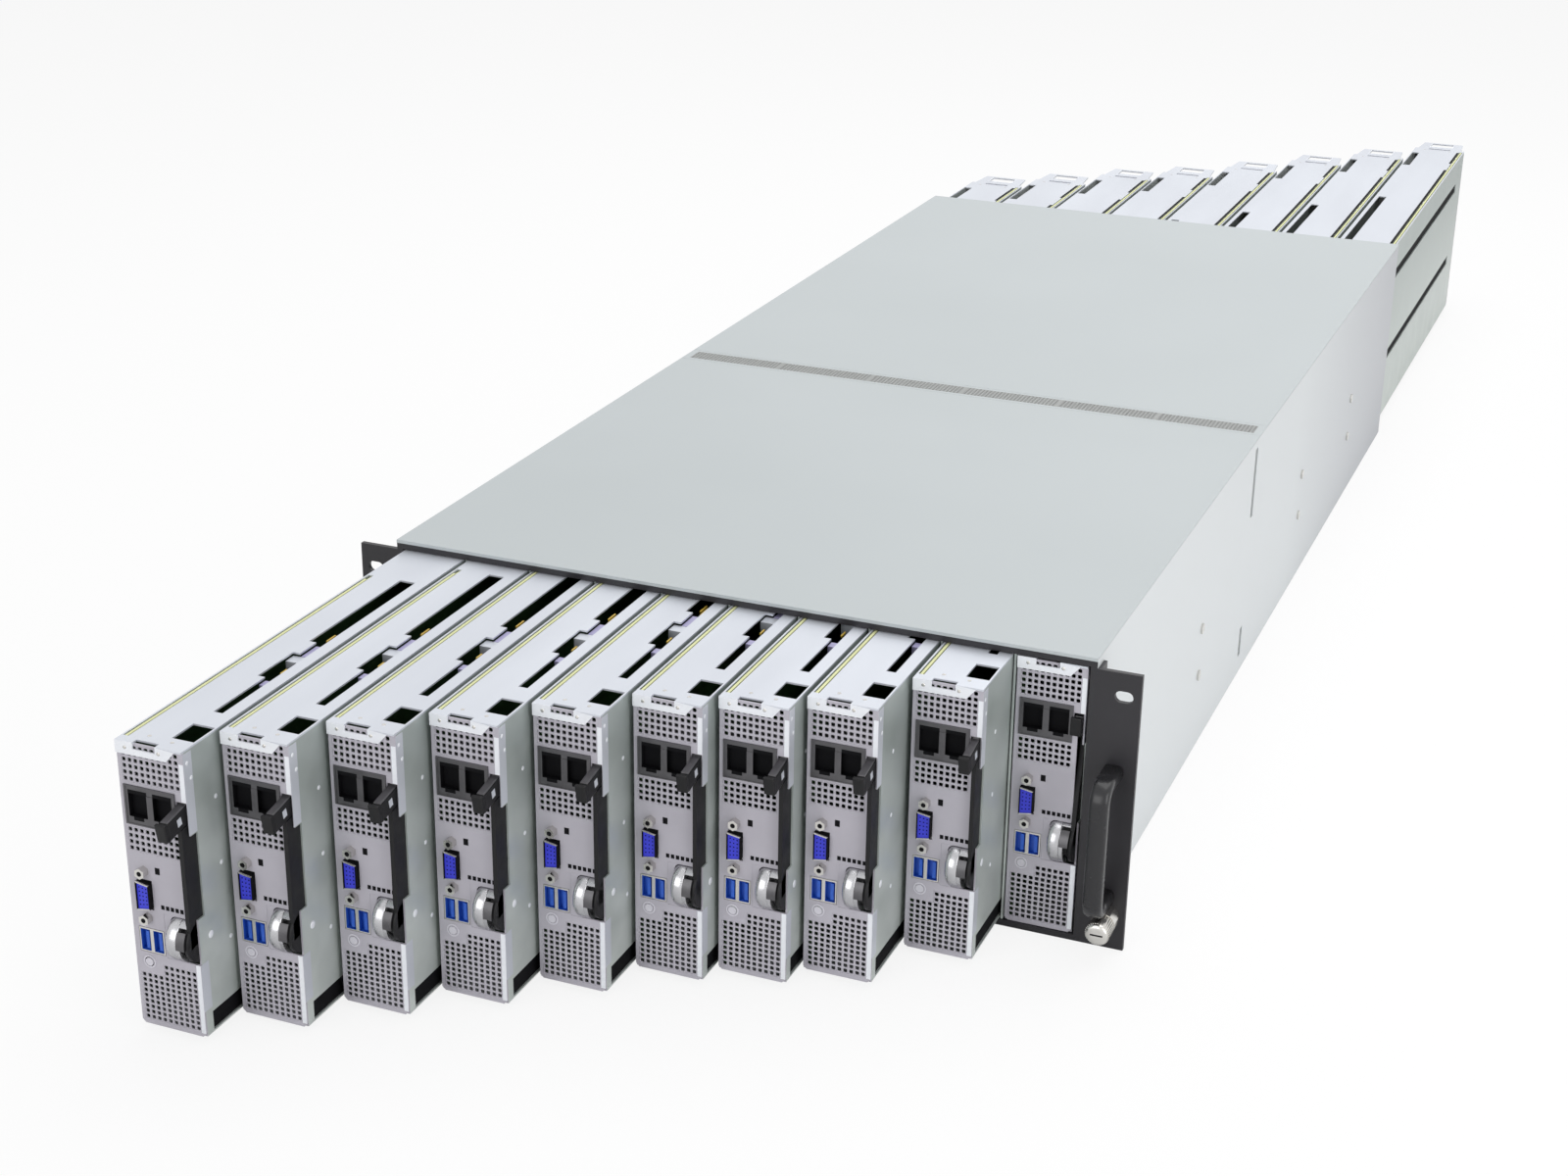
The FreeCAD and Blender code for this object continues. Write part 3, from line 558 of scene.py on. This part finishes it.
def punched_tree():
    tree, given = new_tree("punched_sheet", ("Columns", "Rows"),
                           ("Pitch Across", "Pitch Up", "Hole Radius", "Thickness"))
    hole = add_node(tree, "GeometryNodeMeshCircle", {"fill_type": "NONE"}, {"Radius": given["Hole Radius"]},
                    {"Vertices": 8})
    spot = add_node(tree, "GeometryNodeInputPosition")
    size = add_node(tree, "ShaderNodeVectorMath", {"operation": "ABSOLUTE"}, {0: spot.outputs[0]})
    split = add_node(tree, "ShaderNodeSeparateXYZ", links={0: size.outputs[0]})
    reach = calc(tree, "MAXIMUM", split.outputs[0], split.outputs[1])
    unit = calc(tree, "DIVIDE", 0.5, reach)
    square = vector_node(tree, "SCALE", spot.outputs[0], "Scale", unit)
    wide = calc(tree, "MULTIPLY", given["Hole Radius"], 2.0)
    sharp = vector_node(tree, "SCALE", square, "Scale", wide)
    soft = add_node(tree, "ShaderNodeMix", {"data_type": "VECTOR"}, {4: spot.outputs[0], 5: sharp},
                    {"Factor": CORNER})
    shaped = add_node(tree, "GeometryNodeSetPosition",
                      links={"Geometry": hole.outputs["Mesh"], "Position": soft.outputs[1]})
    ring = add_node(tree, "GeometryNodeExtrudeMesh", {"mode": "EDGES"}, {"Mesh": shaped.outputs[0]},
                    {"Offset Scale": 0.0})
    pitch = add_node(tree, "ShaderNodeCombineXYZ", links={0: given["Pitch Across"], 1: given["Pitch Up"]})
    border = vector_node(tree, "MULTIPLY", square, 1, pitch.outputs[0])
    cell = add_node(tree, "GeometryNodeSetPosition",
                    links={"Geometry": ring.outputs["Mesh"], "Selection": ring.outputs["Top"],
                           "Position": border})
    spans = []
    for count, step in (("Columns", "Pitch Across"), ("Rows", "Pitch Up")):
        gaps = calc(tree, "SUBTRACT", given[count], 1.0)
        spans.append(calc(tree, "MULTIPLY", gaps, given[step]))
    grid = add_node(tree, "GeometryNodeMeshGrid",
                    links={"Size X": spans[0], "Size Y": spans[1],
                           "Vertices X": given["Columns"], "Vertices Y": given["Rows"]})
    cells = add_node(tree, "GeometryNodeInstanceOnPoints",
                     links={"Points": grid.outputs["Mesh"], "Instance": cell.outputs["Geometry"]})
    flat = add_node(tree, "GeometryNodeRealizeInstances", links={0: cells.outputs[0]})
    sheet = add_node(tree, "GeometryNodeMergeByDistance", links={0: flat.outputs[0]},
                     values={"Distance": JOIN})
    rise = add_node(tree, "ShaderNodeCombineXYZ", links={2: given["Thickness"]})
    wall = add_node(tree, "GeometryNodeExtrudeMesh", {"mode": "FACES"},
                    {"Mesh": sheet.outputs[0], "Offset": rise.outputs[0]},
                    {"Offset Scale": 1.0, "Individual": False})
    under = add_node(tree, "GeometryNodeFlipFaces", links={0: sheet.outputs[0]})
    both = add_node(tree, "GeometryNodeJoinGeometry")
    tree.links.new(wall.outputs["Mesh"], both.inputs[0])
    tree.links.new(under.outputs[0], both.inputs[0])
    closed = add_node(tree, "GeometryNodeMergeByDistance", links={0: both.outputs[0]},
                      values={"Distance": JOIN})
    return end_tree(tree, closed.outputs[0], given)


punched = punched_tree()


def punched_sheet(columns, rows, across, up, radius, material):
    return baked(punched, {"Columns": columns, "Rows": rows, "Pitch Across": across, "Pitch Up": up,
                           "Hole Radius": radius, "Thickness": SHEET, "Finish": material})


print("punched sheet tree:", len(punched.nodes), "nodes")

# %% [markdown]
# A sled's vents sit in the windows of its face panel. The sheet is drawn flat, stood up so that
# its width runs across the face, and set where each window starts. The low vent is two sheets,
# because its upper rows start four holes in.

# %% Vents of a sled
PITCH = 3.55
VENT_HOLE = 1.2
SHRINK = 0.8
VENT_MARGIN = 1.9
LEVER_CUT = 3.7
SIDE_WALL = 1.2
STAND_UP = Matrix(((1, 0, 0, 0), (0, 0, 1, 0), (0, 1, 0, 0), (0, 0, 0, 1)))


def vent_sheets(work, width):
    columns = int((width - 2.0 * VENT_MARGIN) / PITCH)
    left = (width - columns * PITCH) / 2.0
    short = min(columns, int((width - LEVER_CUT - SIDE_WALL - left) / PITCH))
    # Holes left out at the left, lower edge, columns, rows and height of each field
    fields = [(0, 145.4, columns, 6, 21.3), (0, 106.0, short, 4, 14.2), (0, 6.8, columns, 9, 28.4),
              (4, 35.2, columns - 4, 2, 7.1)]
    for skip, low, count, rows, tall in fields:
        across = PITCH - SHRINK / (columns - skip)
        sheet = punched_sheet(count, rows, across, tall / rows, VENT_HOLE, face_paint)
        start = left + skip * PITCH
        sheet.transform(Matrix.Translation((start + count * across / 2.0, 0.0, low + tall / 2.0)) @ STAND_UP)
        sheet.flip_normals()
        work.from_mesh(sheet)
        bpy.data.meshes.remove(sheet)
        block(work, (start + count * across, 0.0, low), (left + (skip + count) * PITCH, SHEET, low + tall))


vents = {}
for front in (True, False):
    vents[front] = bmesh.new()
    vent_sheets(vents[front], row_width[front])
for sled in sleds:
    hang(sled["name"] + "_vents", vents[sled["front"]], [face_paint], sled["place"], sled["name"])
print("vents hung on", len(sleds), "sleds")

# %% [markdown]
# The ports carry the small parts that the eye looks for on a server: a stamped frame round the
# network jacks, a rim, pin holes and two hexagon posts at the display socket, blue tongues in the
# serial ports, a ring round the power button and a row of light pipes. They are drawn once for
# each width and hung on every sled. A thin sheet closes the panel round the lever's hub, so the
# hub's outline comes first.

# %% Hub outline and its surround
HUB = Vector((0.0, 5.0, 59.8))
HUB_START = 16.0
HUB_RADIUS = 13.2
HUB_ROUND = 3.4
HUB_LONG = 12.3
ROUND_STEPS = 8
SURROUND_START = 19.95
SURROUND_END = 3.8
SURROUND_BACK = 4.3
CLEAR_LEFT = 0.2
CLEAR_ROUND = 0.3


# Rounding of the hub's left end: (distance from the end, radius) pairs
def hub_profile():
    profile = []
    for k in range(ROUND_STEPS + 1):
        turn = math.pi / 2.0 * k / ROUND_STEPS
        along = HUB_ROUND * (1.0 - math.cos(turn))
        profile.append((along, HUB_RADIUS - HUB_ROUND + HUB_ROUND * math.sin(turn)))
    return profile + [(HUB_LONG, HUB_RADIUS)]


def hub_surround(work, width, finish_number):
    hub0, left, right = width - HUB_START, width - SURROUND_START, width - SURROUND_END
    curve = [(hub0 - CLEAR_LEFT, HUB_RADIUS - HUB_ROUND)]
    curve += [(hub0 + a - CLEAR_LEFT, r) for a, r in hub_profile() if hub0 + a < right]
    curve += [(right, HUB_RADIUS)]
    for way, edge in ((1.0, 72.7), (-1.0, 46.9)):
        ring = [(left, edge), (right, edge)]
        for across, radius in reversed(curve):
            reach = math.sqrt(radius ** 2 - SURROUND_BACK ** 2) + CLEAR_ROUND
            ring.append((across, HUB.z + way * reach))
        ring.append((hub0 - CLEAR_LEFT, HUB.z))
        ring.append((left, HUB.z))
        prism(work, [(a, 0.1, b) for a, b in ring], (0, 0.6, 0), finish_number)


print("hub outline:", len(hub_profile()), "points")

# %% Port details
PORT_FINISHES = [nickel_plate, tin_shield, dark_recess, port_blue, milky_cap, face_paint]
NICKEL, TIN, DARK, BLUE, MILKY, PANEL = range(6)


def port_details(width):
    work = bmesh.new()
    # Stamped frame round the network jacks and the bar between their wells, then notches in the wells drawn
    # as dark blocks of painted shade
    for left, low, right, high, back in ((2.3, 121.7, 3.4, 143.9, -0.02), (32.0, 121.7, 32.9, 143.9, -0.02),
                                         (3.4, 143.2, 32.0, 143.9, -0.02), (3.4, 121.7, 32.0, 122.4, -0.02),
                                         (15.9, 126.3, 19.5, 139.3, -0.5)):
        block(work, (left, -0.75, low), (right, back, high), TIN)
    for left, right in ((4.7, 15.9), (19.5, 30.7)):
        block(work, (left, -0.6, 139.3), (right, -0.45, 141.3), DARK)
        block(work, (left + 2.6, -0.6, 124.4), (right - 2.6, -0.45, 126.3), DARK)
    # Rim, pin holes and hexagon posts of the display socket: the rim's two sides, the pin holes and the
    # posts' holes are dark faces of painted shade
    rim = [(5.6, -2.4, 73.7), (13.6, -2.4, 75.1), (13.6, -2.4, 88.9), (5.6, -2.4, 90.3)]
    inner = [(6.1, -2.4, 74.4), (13.1, -2.4, 75.6), (13.1, -2.4, 88.4), (6.1, -2.4, 89.6)]
    band(work, rim, inner, (0, -0.8, 0), (NICKEL, DARK))
    for row in range(5):
        for k, across in enumerate((7.6, 9.6, 11.6)):
            tall = 82.0 + (row - 2) * (2.5 - 0.15 * k)
            prism(work, circle((across, -2.42, tall), 1, 0.42, 6), (0, -0.06, 0), DARK)
    for tall in (68.6, 95.6):
        prism(work, circle((9.6, 0.0, tall), 1, 3.1, 6, math.pi / 6), (0, -4.2, 0), NICKEL)
        prism(work, circle((9.6, -4.2, tall), 1, 1.4, 10), (0, -0.05, 0), DARK)
    # Tongues of the serial ports
    for left in (4.1, 11.9):
        block(work, (left + 3.0, 0.35, 49.9), (left + 4.9, 3.4, 59.9), BLUE)
    # Ring round the power button, row of light pipes and the small hole over them, the hole drawn as a dark
    # block of painted shade
    button = (8.2, 0.0, 42.2)
    band(work, circle(button, 1, 3.7, 20), circle(button, 1, 2.9, 20), (0, -0.35, 0), (MILKY,))
    for k in range(6):
        block(work, (18.4 + k * 2.9, -0.1, 75.2), (20.4 + k * 2.9, 0.02, 77.6), DARK)
    block(work, (16.6, -0.1, 95.1), (19.4, 0.02, 98.9), DARK)
    hub_surround(work, width, PANEL)
    bmesh.ops.recalc_face_normals(work, faces=work.faces)
    return work


details = {front: port_details(row_width[front]) for front in (True, False)}
for sled in sleds:
    hang(sled["name"] + "_port_details", details[sled["front"]], PORT_FINISHES, sled["place"],
         sled["name"])
print("port details:", len(details[True].faces), "faces a sled")

# %% [markdown]
# The trays are spot welded and clinched: each join leaves a small dimple on the side wall, on the
# top plate or on its lip; those on the wall are painted nearly white as highlights. The tray's folded
# flange shows as a strip at the right of the panel and on the wall behind it, painted pale as a
# highlight, and the board's edge stands in its gap along the left of the plate. The slits of the front
# sleds show plug blocks and wires, and a slit low in their wall is a dark block of painted shade. The
# rear ones have slits in the wall and on the top plate drawn as dark blocks of painted shade, and a
# raised rim on the pull loop painted nearly white as a highlight.

# %% Clinched joins and folds
BOARD_END = {True: 234.0, False: 474.0}
TRAY_FINISHES = [bright_zinc, lip_highlight_steel, board_edge, dark_recess, nickel_plate, wire_yellow, lavender_block]
BRIGHT, LIP_HIGHLIGHT, EDGE, SLIT_SHADE, STUD, WIRE, LAVENDER = range(7)
PLATE_TOP = 168.45


def tray_details(width, front):
    work = bmesh.new()
    # Dimples on the side wall, painted nearly white as highlights, on the lip and on the top plate
    for back, tall, size in ((3.0, 161.0, 1.2), (5.5, 152.0, 1.2), (24.5, 133.0, 1.3), (24.7, 95.0, 1.3),
                             (27.7, 50.0, 1.3), (11.0, 59.8, 2.2)):
        turned(work, (width, back, tall), 0, [(-0.02, size), (0.12, size), (0.25, size * 0.55)], 14, LIP_HIGHLIGHT)
    for across in (6.0, 26.0):
        turned(work, (across, -1.2, 165.2), 1, [(-0.2, 0.6), (-0.1, 1.0), (0.02, 1.0)], 12, STUD)
    for across, back in ((14.0, 9.0), (width - 10.5, 7.0)):
        ring = [(across + a, back + b, 168.48) for _, a, b in circle((0.0, 0.0, 0.0), 0, 1.1, 12)]
        prism(work, ring, (0, 0, 0.17), STUD)
    # Folded flange on the panel and on the wall, painted pale as a highlight, and the board's edge
    for low, high in ((6.2, 46.6), (140.1, 161.2)):
        block(work, (width - 2.7, -0.12, low), (width - 0.05, 0.0, high), LIP_HIGHLIGHT)
    for low, high in ((19.0, 46.6), (121.6, 166.6)):
        block(work, (width - 0.02, 0.2, low), (width + 0.12, 7.0, high), BRIGHT)
    block(work, (1.85, 5.3, 167.25), (3.35, BOARD_END[front], 168.3), EDGE)
    return work


def front_only(work, width):
    # Slit low in the wall as a dark block of painted shade, plug blocks and wires
    block(work, (width - 1.3, 7.2, 5.1), (width - 1.05, 329.0, 16.4), SLIT_SHADE)
    for back0, back1, far, tone in ((87.0, 93.0, 12.8, LAVENDER), (119.0, 127.0, 17.2, BRIGHT),
                                    (127.5, 142.5, 12.8, LAVENDER)):
        block(work, (width - far, back0, 160.0), (width - 7.7, back1, 166.4), tone)
    for across, back0, back1 in ((11.0, 148.0, 159.0), (13.2, 153.0, 162.0), (9.6, 166.0, 171.0),
                                 (12.4, 106.0, 112.0)):
        block(work, (width - across, back0, 164.4), (width - across + 0.9, back1, 165.4), WIRE)


def rear_only(work, width):
    # Slits in the wall and on the top plate as dark blocks of painted shade, and the rim of the pull loop
    # painted nearly white as a highlight
    for low in (57.6, 133.6):
        block(work, (1.05, 38.0, low), (1.35, 485.0, low + 9.8), SLIT_SHADE)
    for back0, back1 in ((9.0, 66.0), (98.0, 474.0)):
        block(work, (4.2, back0, PLATE_TOP), (6.4, back1, 168.53), SLIT_SHADE)
    rim = [(a, b, PLATE_TOP) for a, b in ((13.2, -9.2), (36.8, -9.2), (36.8, -27.0), (13.2, -27.0))]
    hole = [(a, b, PLATE_TOP) for a, b in ((14.0, -10.0), (36.0, -10.0), (36.0, -26.2), (14.0, -26.2))]
    band(work, rim, hole, (0, 0, 0.3), (LIP_HIGHLIGHT,))


for front in (True, False):
    width = row_width[front]
    work = tray_details(width, front)
    if front:
        front_only(work, width)
    else:
        rear_only(work, width)
    bmesh.ops.recalc_face_normals(work, faces=work.faces)
    for sled in sleds:
        if sled["front"] == front:
            hang(sled["name"] + "_tray_details", work, TRAY_FINISHES, sled["place"], sled["name"])
    print("tray details:", len(work.faces), "faces a sled")
    work.free()

# %% [markdown]
# The ejector lever is the piece with the most shape: a round hub that bulges from the face, a
# leaning black arm with a round root beside the hub, and a grip at the arm's end. It is drawn
# closed, turned open about its pivot by 11 degrees on the pulled sleds, and takes the place of the
# plain solid.

# %% Ejector lever
OPEN_TURN = math.radians(11.0)
LEAN = math.tan(OPEN_TURN)
ARM_PROUD = 5.5
ARM_THICK = 2.2
ARM_DEEP = 7.5
ARM_FRONT = 4.0
ROOT_RADIUS = 12.2
HUB_DEEP = 7.6
CORE_RADIUS = 9.4
LEVER_FINISHES = [die_cast, black_plastic, tin_shield, bright_zinc]
CAST, BLACK, DULL, MARK = range(4)


def hub_sector(work, across0, across1, inner, outer, start, end, steps, finish_number):
    rows = []
    for k in range(steps + 1):
        turn = math.radians(start + (end - start) * k / steps)
        c, s = math.cos(turn), math.sin(turn)
        rows.append([work.verts.new((x, HUB.y + r * c, HUB.z + r * s))
                     for x, r in ((across0, inner), (across1, inner), (across1, outer), (across0, outer))])
    skin(work, rows, finish_number)


def lever_drawing(width):
    arm1 = width - SIDE_WALL
    arm0 = arm1 - ARM_THICK
    work = bmesh.new()
    # Dome of the hub, the core behind it and three blocks round the core
    hub0 = width - HUB_START
    core0 = hub0 + HUB_DEEP
    dome = hub_profile()[:-1] + [(7.2, HUB_RADIUS), (HUB_DEEP, HUB_RADIUS - 0.3), (HUB_DEEP, 8.0)]
    turned(work, (hub0, HUB.y, HUB.z), 0, dome, 48, CAST)
    turned(work, (core0, HUB.y, HUB.z), 0, [(0.0, CORE_RADIUS), (arm0 - hub0 - HUB_DEEP, CORE_RADIUS)],
           32, BLACK)
    inside, rim = CORE_RADIUS - 0.2, HUB_RADIUS - 0.1
    hub_sector(work, core0, arm0, inside, rim, 92.0, 122.0, 8, CAST)
    hub_sector(work, core0, arm0, inside, rim, 132.0, 176.0, 10, DULL)
    hub_sector(work, core0, hub0 + 9.8, inside, rim, 176.0, 262.0, 16, CAST)

    def arm_edge(height):
        return HUB.y - ARM_FRONT - ARM_PROUD + LEAN * (height - HUB.z)

    def arm_part(low, high, grow, finish_number):
        deep = ARM_DEEP + ARM_PROUD + grow
        ring = [(arm0 - grow, arm_edge(low) - grow, low), (arm0 - grow, arm_edge(low) + deep, low),
                (arm0 - grow, arm_edge(high) + deep, high), (arm0 - grow, arm_edge(high) - grow, high)]
        prism(work, ring, (ARM_THICK + 2.0 * grow, 0, 0), finish_number)

    # Round root of the arm, the arm and its sleeve
    turned(work, (arm0, HUB.y, HUB.z), 0, [(0.0, ROOT_RADIUS), (ARM_THICK, ROOT_RADIUS)], 40, BLACK)
    arm_part(HUB.z, 74.0, 0.0, BLACK)
    arm_part(73.2, 127.0, 0.12, BLACK)
    # Grip: lip, neck, body, cap and a pale mark on its side
    block(work, (arm1 - 6.2, -3.0, 127.2), (arm1 - 0.1, -0.9, 137.8), BLACK, 0.5)
    block(work, (arm1 - 4.6, -1.2, 127.2), (arm1 - 0.1, 0.2, 137.2), BLACK)
    block(work, (arm1 - 4.8, -0.3, 127.0), (arm1, 19.7, 137.4), BLACK, 0.7)
    block(work, (arm1 - 4.5, 0.1, 137.2), (arm1 - 0.3, 19.3, 138.0), DULL, 0.25)
    block(work, (arm1 - 0.2, 7.0, 130.3), (arm1 + 0.1, 10.4, 134.6), MARK)
    bmesh.ops.recalc_face_normals(work, faces=work.faces)
    return work


for sled in sleds:
    lever_node = sled["name"] + "_lever"
    work = lever_drawing(sled["width"])
    if sled["pulled"] > 0.0:
        bmesh.ops.rotate(work, verts=work.verts, cent=HUB, matrix=Matrix.Rotation(OPEN_TURN, 3, "X"))
    lever = hang(lever_node + "_shape", work, LEVER_FINISHES, sled["place"], lever_node)
    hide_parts(lever_node)
    work.free()
print("levers drawn")

# %% [markdown]
# Each ear carries a bow handle. A bar of rounded section is swept round the bow, so the bends
# stay smooth where the solid has few faces, and its feet stand flat on the ear.

# %% Bow handles
handle_low, handle_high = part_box("ear_handles")
HANDLE_ACROSS = 228.8
HALF_WIDE = 5.5
HALF_DEEP = 4.25
BEND = 9.0
BEND_STEPS = 14
RUN_STEPS = 8
SQUARE = 0.6
SIDES = 20


def bow(work, across):
    reach, foot, bend = handle_low.y / MM + HALF_DEEP, handle_high.y / MM, BEND
    bottom, top = handle_low.z / MM + HALF_DEEP, handle_high.z / MM - HALF_DEEP
    path = [(foot, bottom)]
    for k in range(BEND_STEPS + 1):
        turn = math.pi / 2.0 * k / BEND_STEPS
        path.append((reach + bend - bend * math.sin(turn), bottom + bend - bend * math.cos(turn)))
    for k in range(1, RUN_STEPS):
        path.append((reach, bottom + bend + (top - bottom - 2.0 * bend) * k / RUN_STEPS))
    for k in range(BEND_STEPS + 1):
        turn = math.pi / 2.0 * k / BEND_STEPS
        path.append((reach + bend - bend * math.cos(turn), top - bend + bend * math.sin(turn)))
    path.append((foot, top))
    rows = []
    for i, (y, z) in enumerate(path):
        a, b = path[max(i - 1, 0)], path[min(i + 1, len(path) - 1)]
        run = Vector((0.0, b[0] - a[0], b[1] - a[1])).normalized()
        out = Vector((0.0, -run.z, run.y))
        row = []
        for k in range(SIDES):
            turn = 2.0 * math.pi * k / SIDES
            c, s = math.cos(turn), math.sin(turn)
            x = math.copysign(abs(c) ** SQUARE, c) * HALF_WIDE
            n = math.copysign(abs(s) ** SQUARE, s) * HALF_DEEP
            row.append(work.verts.new(Vector((across + x, y, z)) + out * n))
        rows.append(row)
    skin(work, rows, smooth=True)


work = bmesh.new()
for side in (-1.0, 1.0):
    bow(work, side * HANDLE_ACROSS)
bmesh.ops.recalc_face_normals(work, faces=work.faces)
handles = hang("bow_handles", work, [handle_nylon], IN_MM, "chassis")
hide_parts("ear_handles")
work.free()
print("handles swept")

# %% [markdown]
# The thumbscrews are turned brass under nickel with a straight knurl. Geometry Nodes stands one
# narrow ridge at each point of a circle and turns it outward, which is how a knurling wheel
# leaves the metal, and a turned core fills the inside.


# %% Knurl and thumbscrews
def knurl_tree():
    tree, given = new_tree("straight_knurl", ("Ridges",), ("Radius", "Ridge Depth", "Ridge Width", "Length"))
    spots = add_node(tree, "GeometryNodeMeshCircle",
                     links={"Vertices": given["Ridges"], "Radius": given["Radius"]})
    size = add_node(tree, "ShaderNodeCombineXYZ",
                    links={0: given["Ridge Depth"], 1: given["Ridge Width"], 2: given["Length"]})
    ridge = add_node(tree, "GeometryNodeMeshCube", links={"Size": size.outputs[0]})
    spot = add_node(tree, "GeometryNodeInputPosition")
    outward = add_node(tree, "FunctionNodeAlignRotationToVector", {"axis": "X", "pivot_axis": "Z"},
                       {"Vector": spot.outputs[0]})
    ridges = add_node(tree, "GeometryNodeInstanceOnPoints",
                      links={"Points": spots.outputs[0], "Instance": ridge.outputs["Mesh"],
                             "Rotation": outward.outputs[0]})
    return end_tree(tree, ridges.outputs[0], given)


knurl = knurl_tree()
for side, node in ((-1.0, "left_thumbscrew"), (1.0, "right_thumbscrew")):
    low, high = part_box(node)
    front, rear = low.y / MM, high.y / MM
    across = side * SCREW_ACROSS
    work = bmesh.new()
    # Head, neck and thread as one turned outline, and the slot as a dark bar of painted shade on the head
    outline = [(front, 3.0), (front, 5.0), (front + 0.8, 6.1), (front + 1.6, 6.4), (front + 12.2, 6.4),
               (front + 13.0, 5.7), (front + 13.0, 2.2), (0.4, 2.2), (0.4, 2.7), (0.8, 2.95),
               (rear - 0.8, 2.95), (rear, 2.3)]
    turned(work, (across, 0.0, SCREW_HEIGHT), 1, outline, 32, 0)
    slot_ring = [(across + a, front - 0.01, SCREW_HEIGHT + b)
                 for a, b in ((-3.6, -0.5), (3.6, -0.5), (3.6, 0.5), (-3.6, 0.5))]
    prism(work, slot_ring, (0, 0.3, 0), 1)
    bmesh.ops.recalc_face_normals(work, faces=work.faces)
    ridges = baked(knurl, {"Ridges": 32, "Radius": 6.45, "Ridge Depth": 0.9, "Ridge Width": 0.62,
                           "Length": 10.2, "Finish": nickel_plate})
    along_screw = Matrix.Rotation(math.pi / 2.0, 4, "X")
    ridges.transform(Matrix.Translation((across, front + 6.9, SCREW_HEIGHT)) @ along_screw)
    work.from_mesh(ridges)
    screw = hang(node + "_shape", work, [nickel_plate, dark_recess], IN_MM, node)
    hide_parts(node)
    work.free()
print("thumbscrews turned")

# %% [markdown]
# The strip across the roof is the same punched sheet with finer holes. It lies flat in the six
# windows of the strip, so the tree's sheet needs no turning.

# %% Punched strip in the roof
strip_low, strip_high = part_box("vent_strip")
strip_y = (strip_low.y + strip_high.y) / 2.0 / MM
STRIP_LONG = 425.0
STRIP_WIDE = 16.0
WINDOWS = 6
BAR = 3.0
COLUMNS = 26
ROWS = 6
STRIP_HOLE = 0.85
work = bmesh.new()
bay = STRIP_LONG / WINDOWS
across = bay - BAR
near, far = strip_y - STRIP_WIDE / 2.0, strip_y + STRIP_WIDE / 2.0
for k in range(WINDOWS):
    sheet = punched_sheet(COLUMNS, ROWS, across / COLUMNS, STRIP_WIDE / ROWS, STRIP_HOLE, strip_steel)
    middle = bay * (k + 0.5) - STRIP_LONG / 2.0
    sheet.transform(Matrix.Translation((middle, strip_y, strip_low.z / MM)))
    work.from_mesh(sheet)
    bpy.data.meshes.remove(sheet)
    # A dark plate under each window is painted shade seen through the holes
    block(work, (middle - across / 2.0, near, 172.6), (middle + across / 2.0, far, 173.0), 1)
    if k:
        start = middle - bay / 2.0
        block(work, (start - BAR / 2.0, near, 174.45), (start + BAR / 2.0, far, 174.56))
hang("roof_strip_punching", work, [strip_steel, dark_recess], IN_MM, "chassis")
print("roof strip:", len(work.faces), "faces")
work.free()

# %% [markdown]
# The front cover is folded down over the mouth frame, so only a narrow dark line of the frame
# shows under the roof's edge.

# %% Hem of the front cover
low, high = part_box("front_cover")
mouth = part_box("front_frame")[0].y / MM
work = bmesh.new()
block(work, (low.x / MM, mouth - 0.35, 172.6), (high.x / MM, mouth - 0.02, 174.45))
bmesh.ops.recalc_face_normals(work, faces=work.faces)
hang("front_cover_hem", work, [shaded_cover_paint], IN_MM, "chassis")
work.free()
print("hem along", round((high.x - low.x) / MM, 1), "mm")
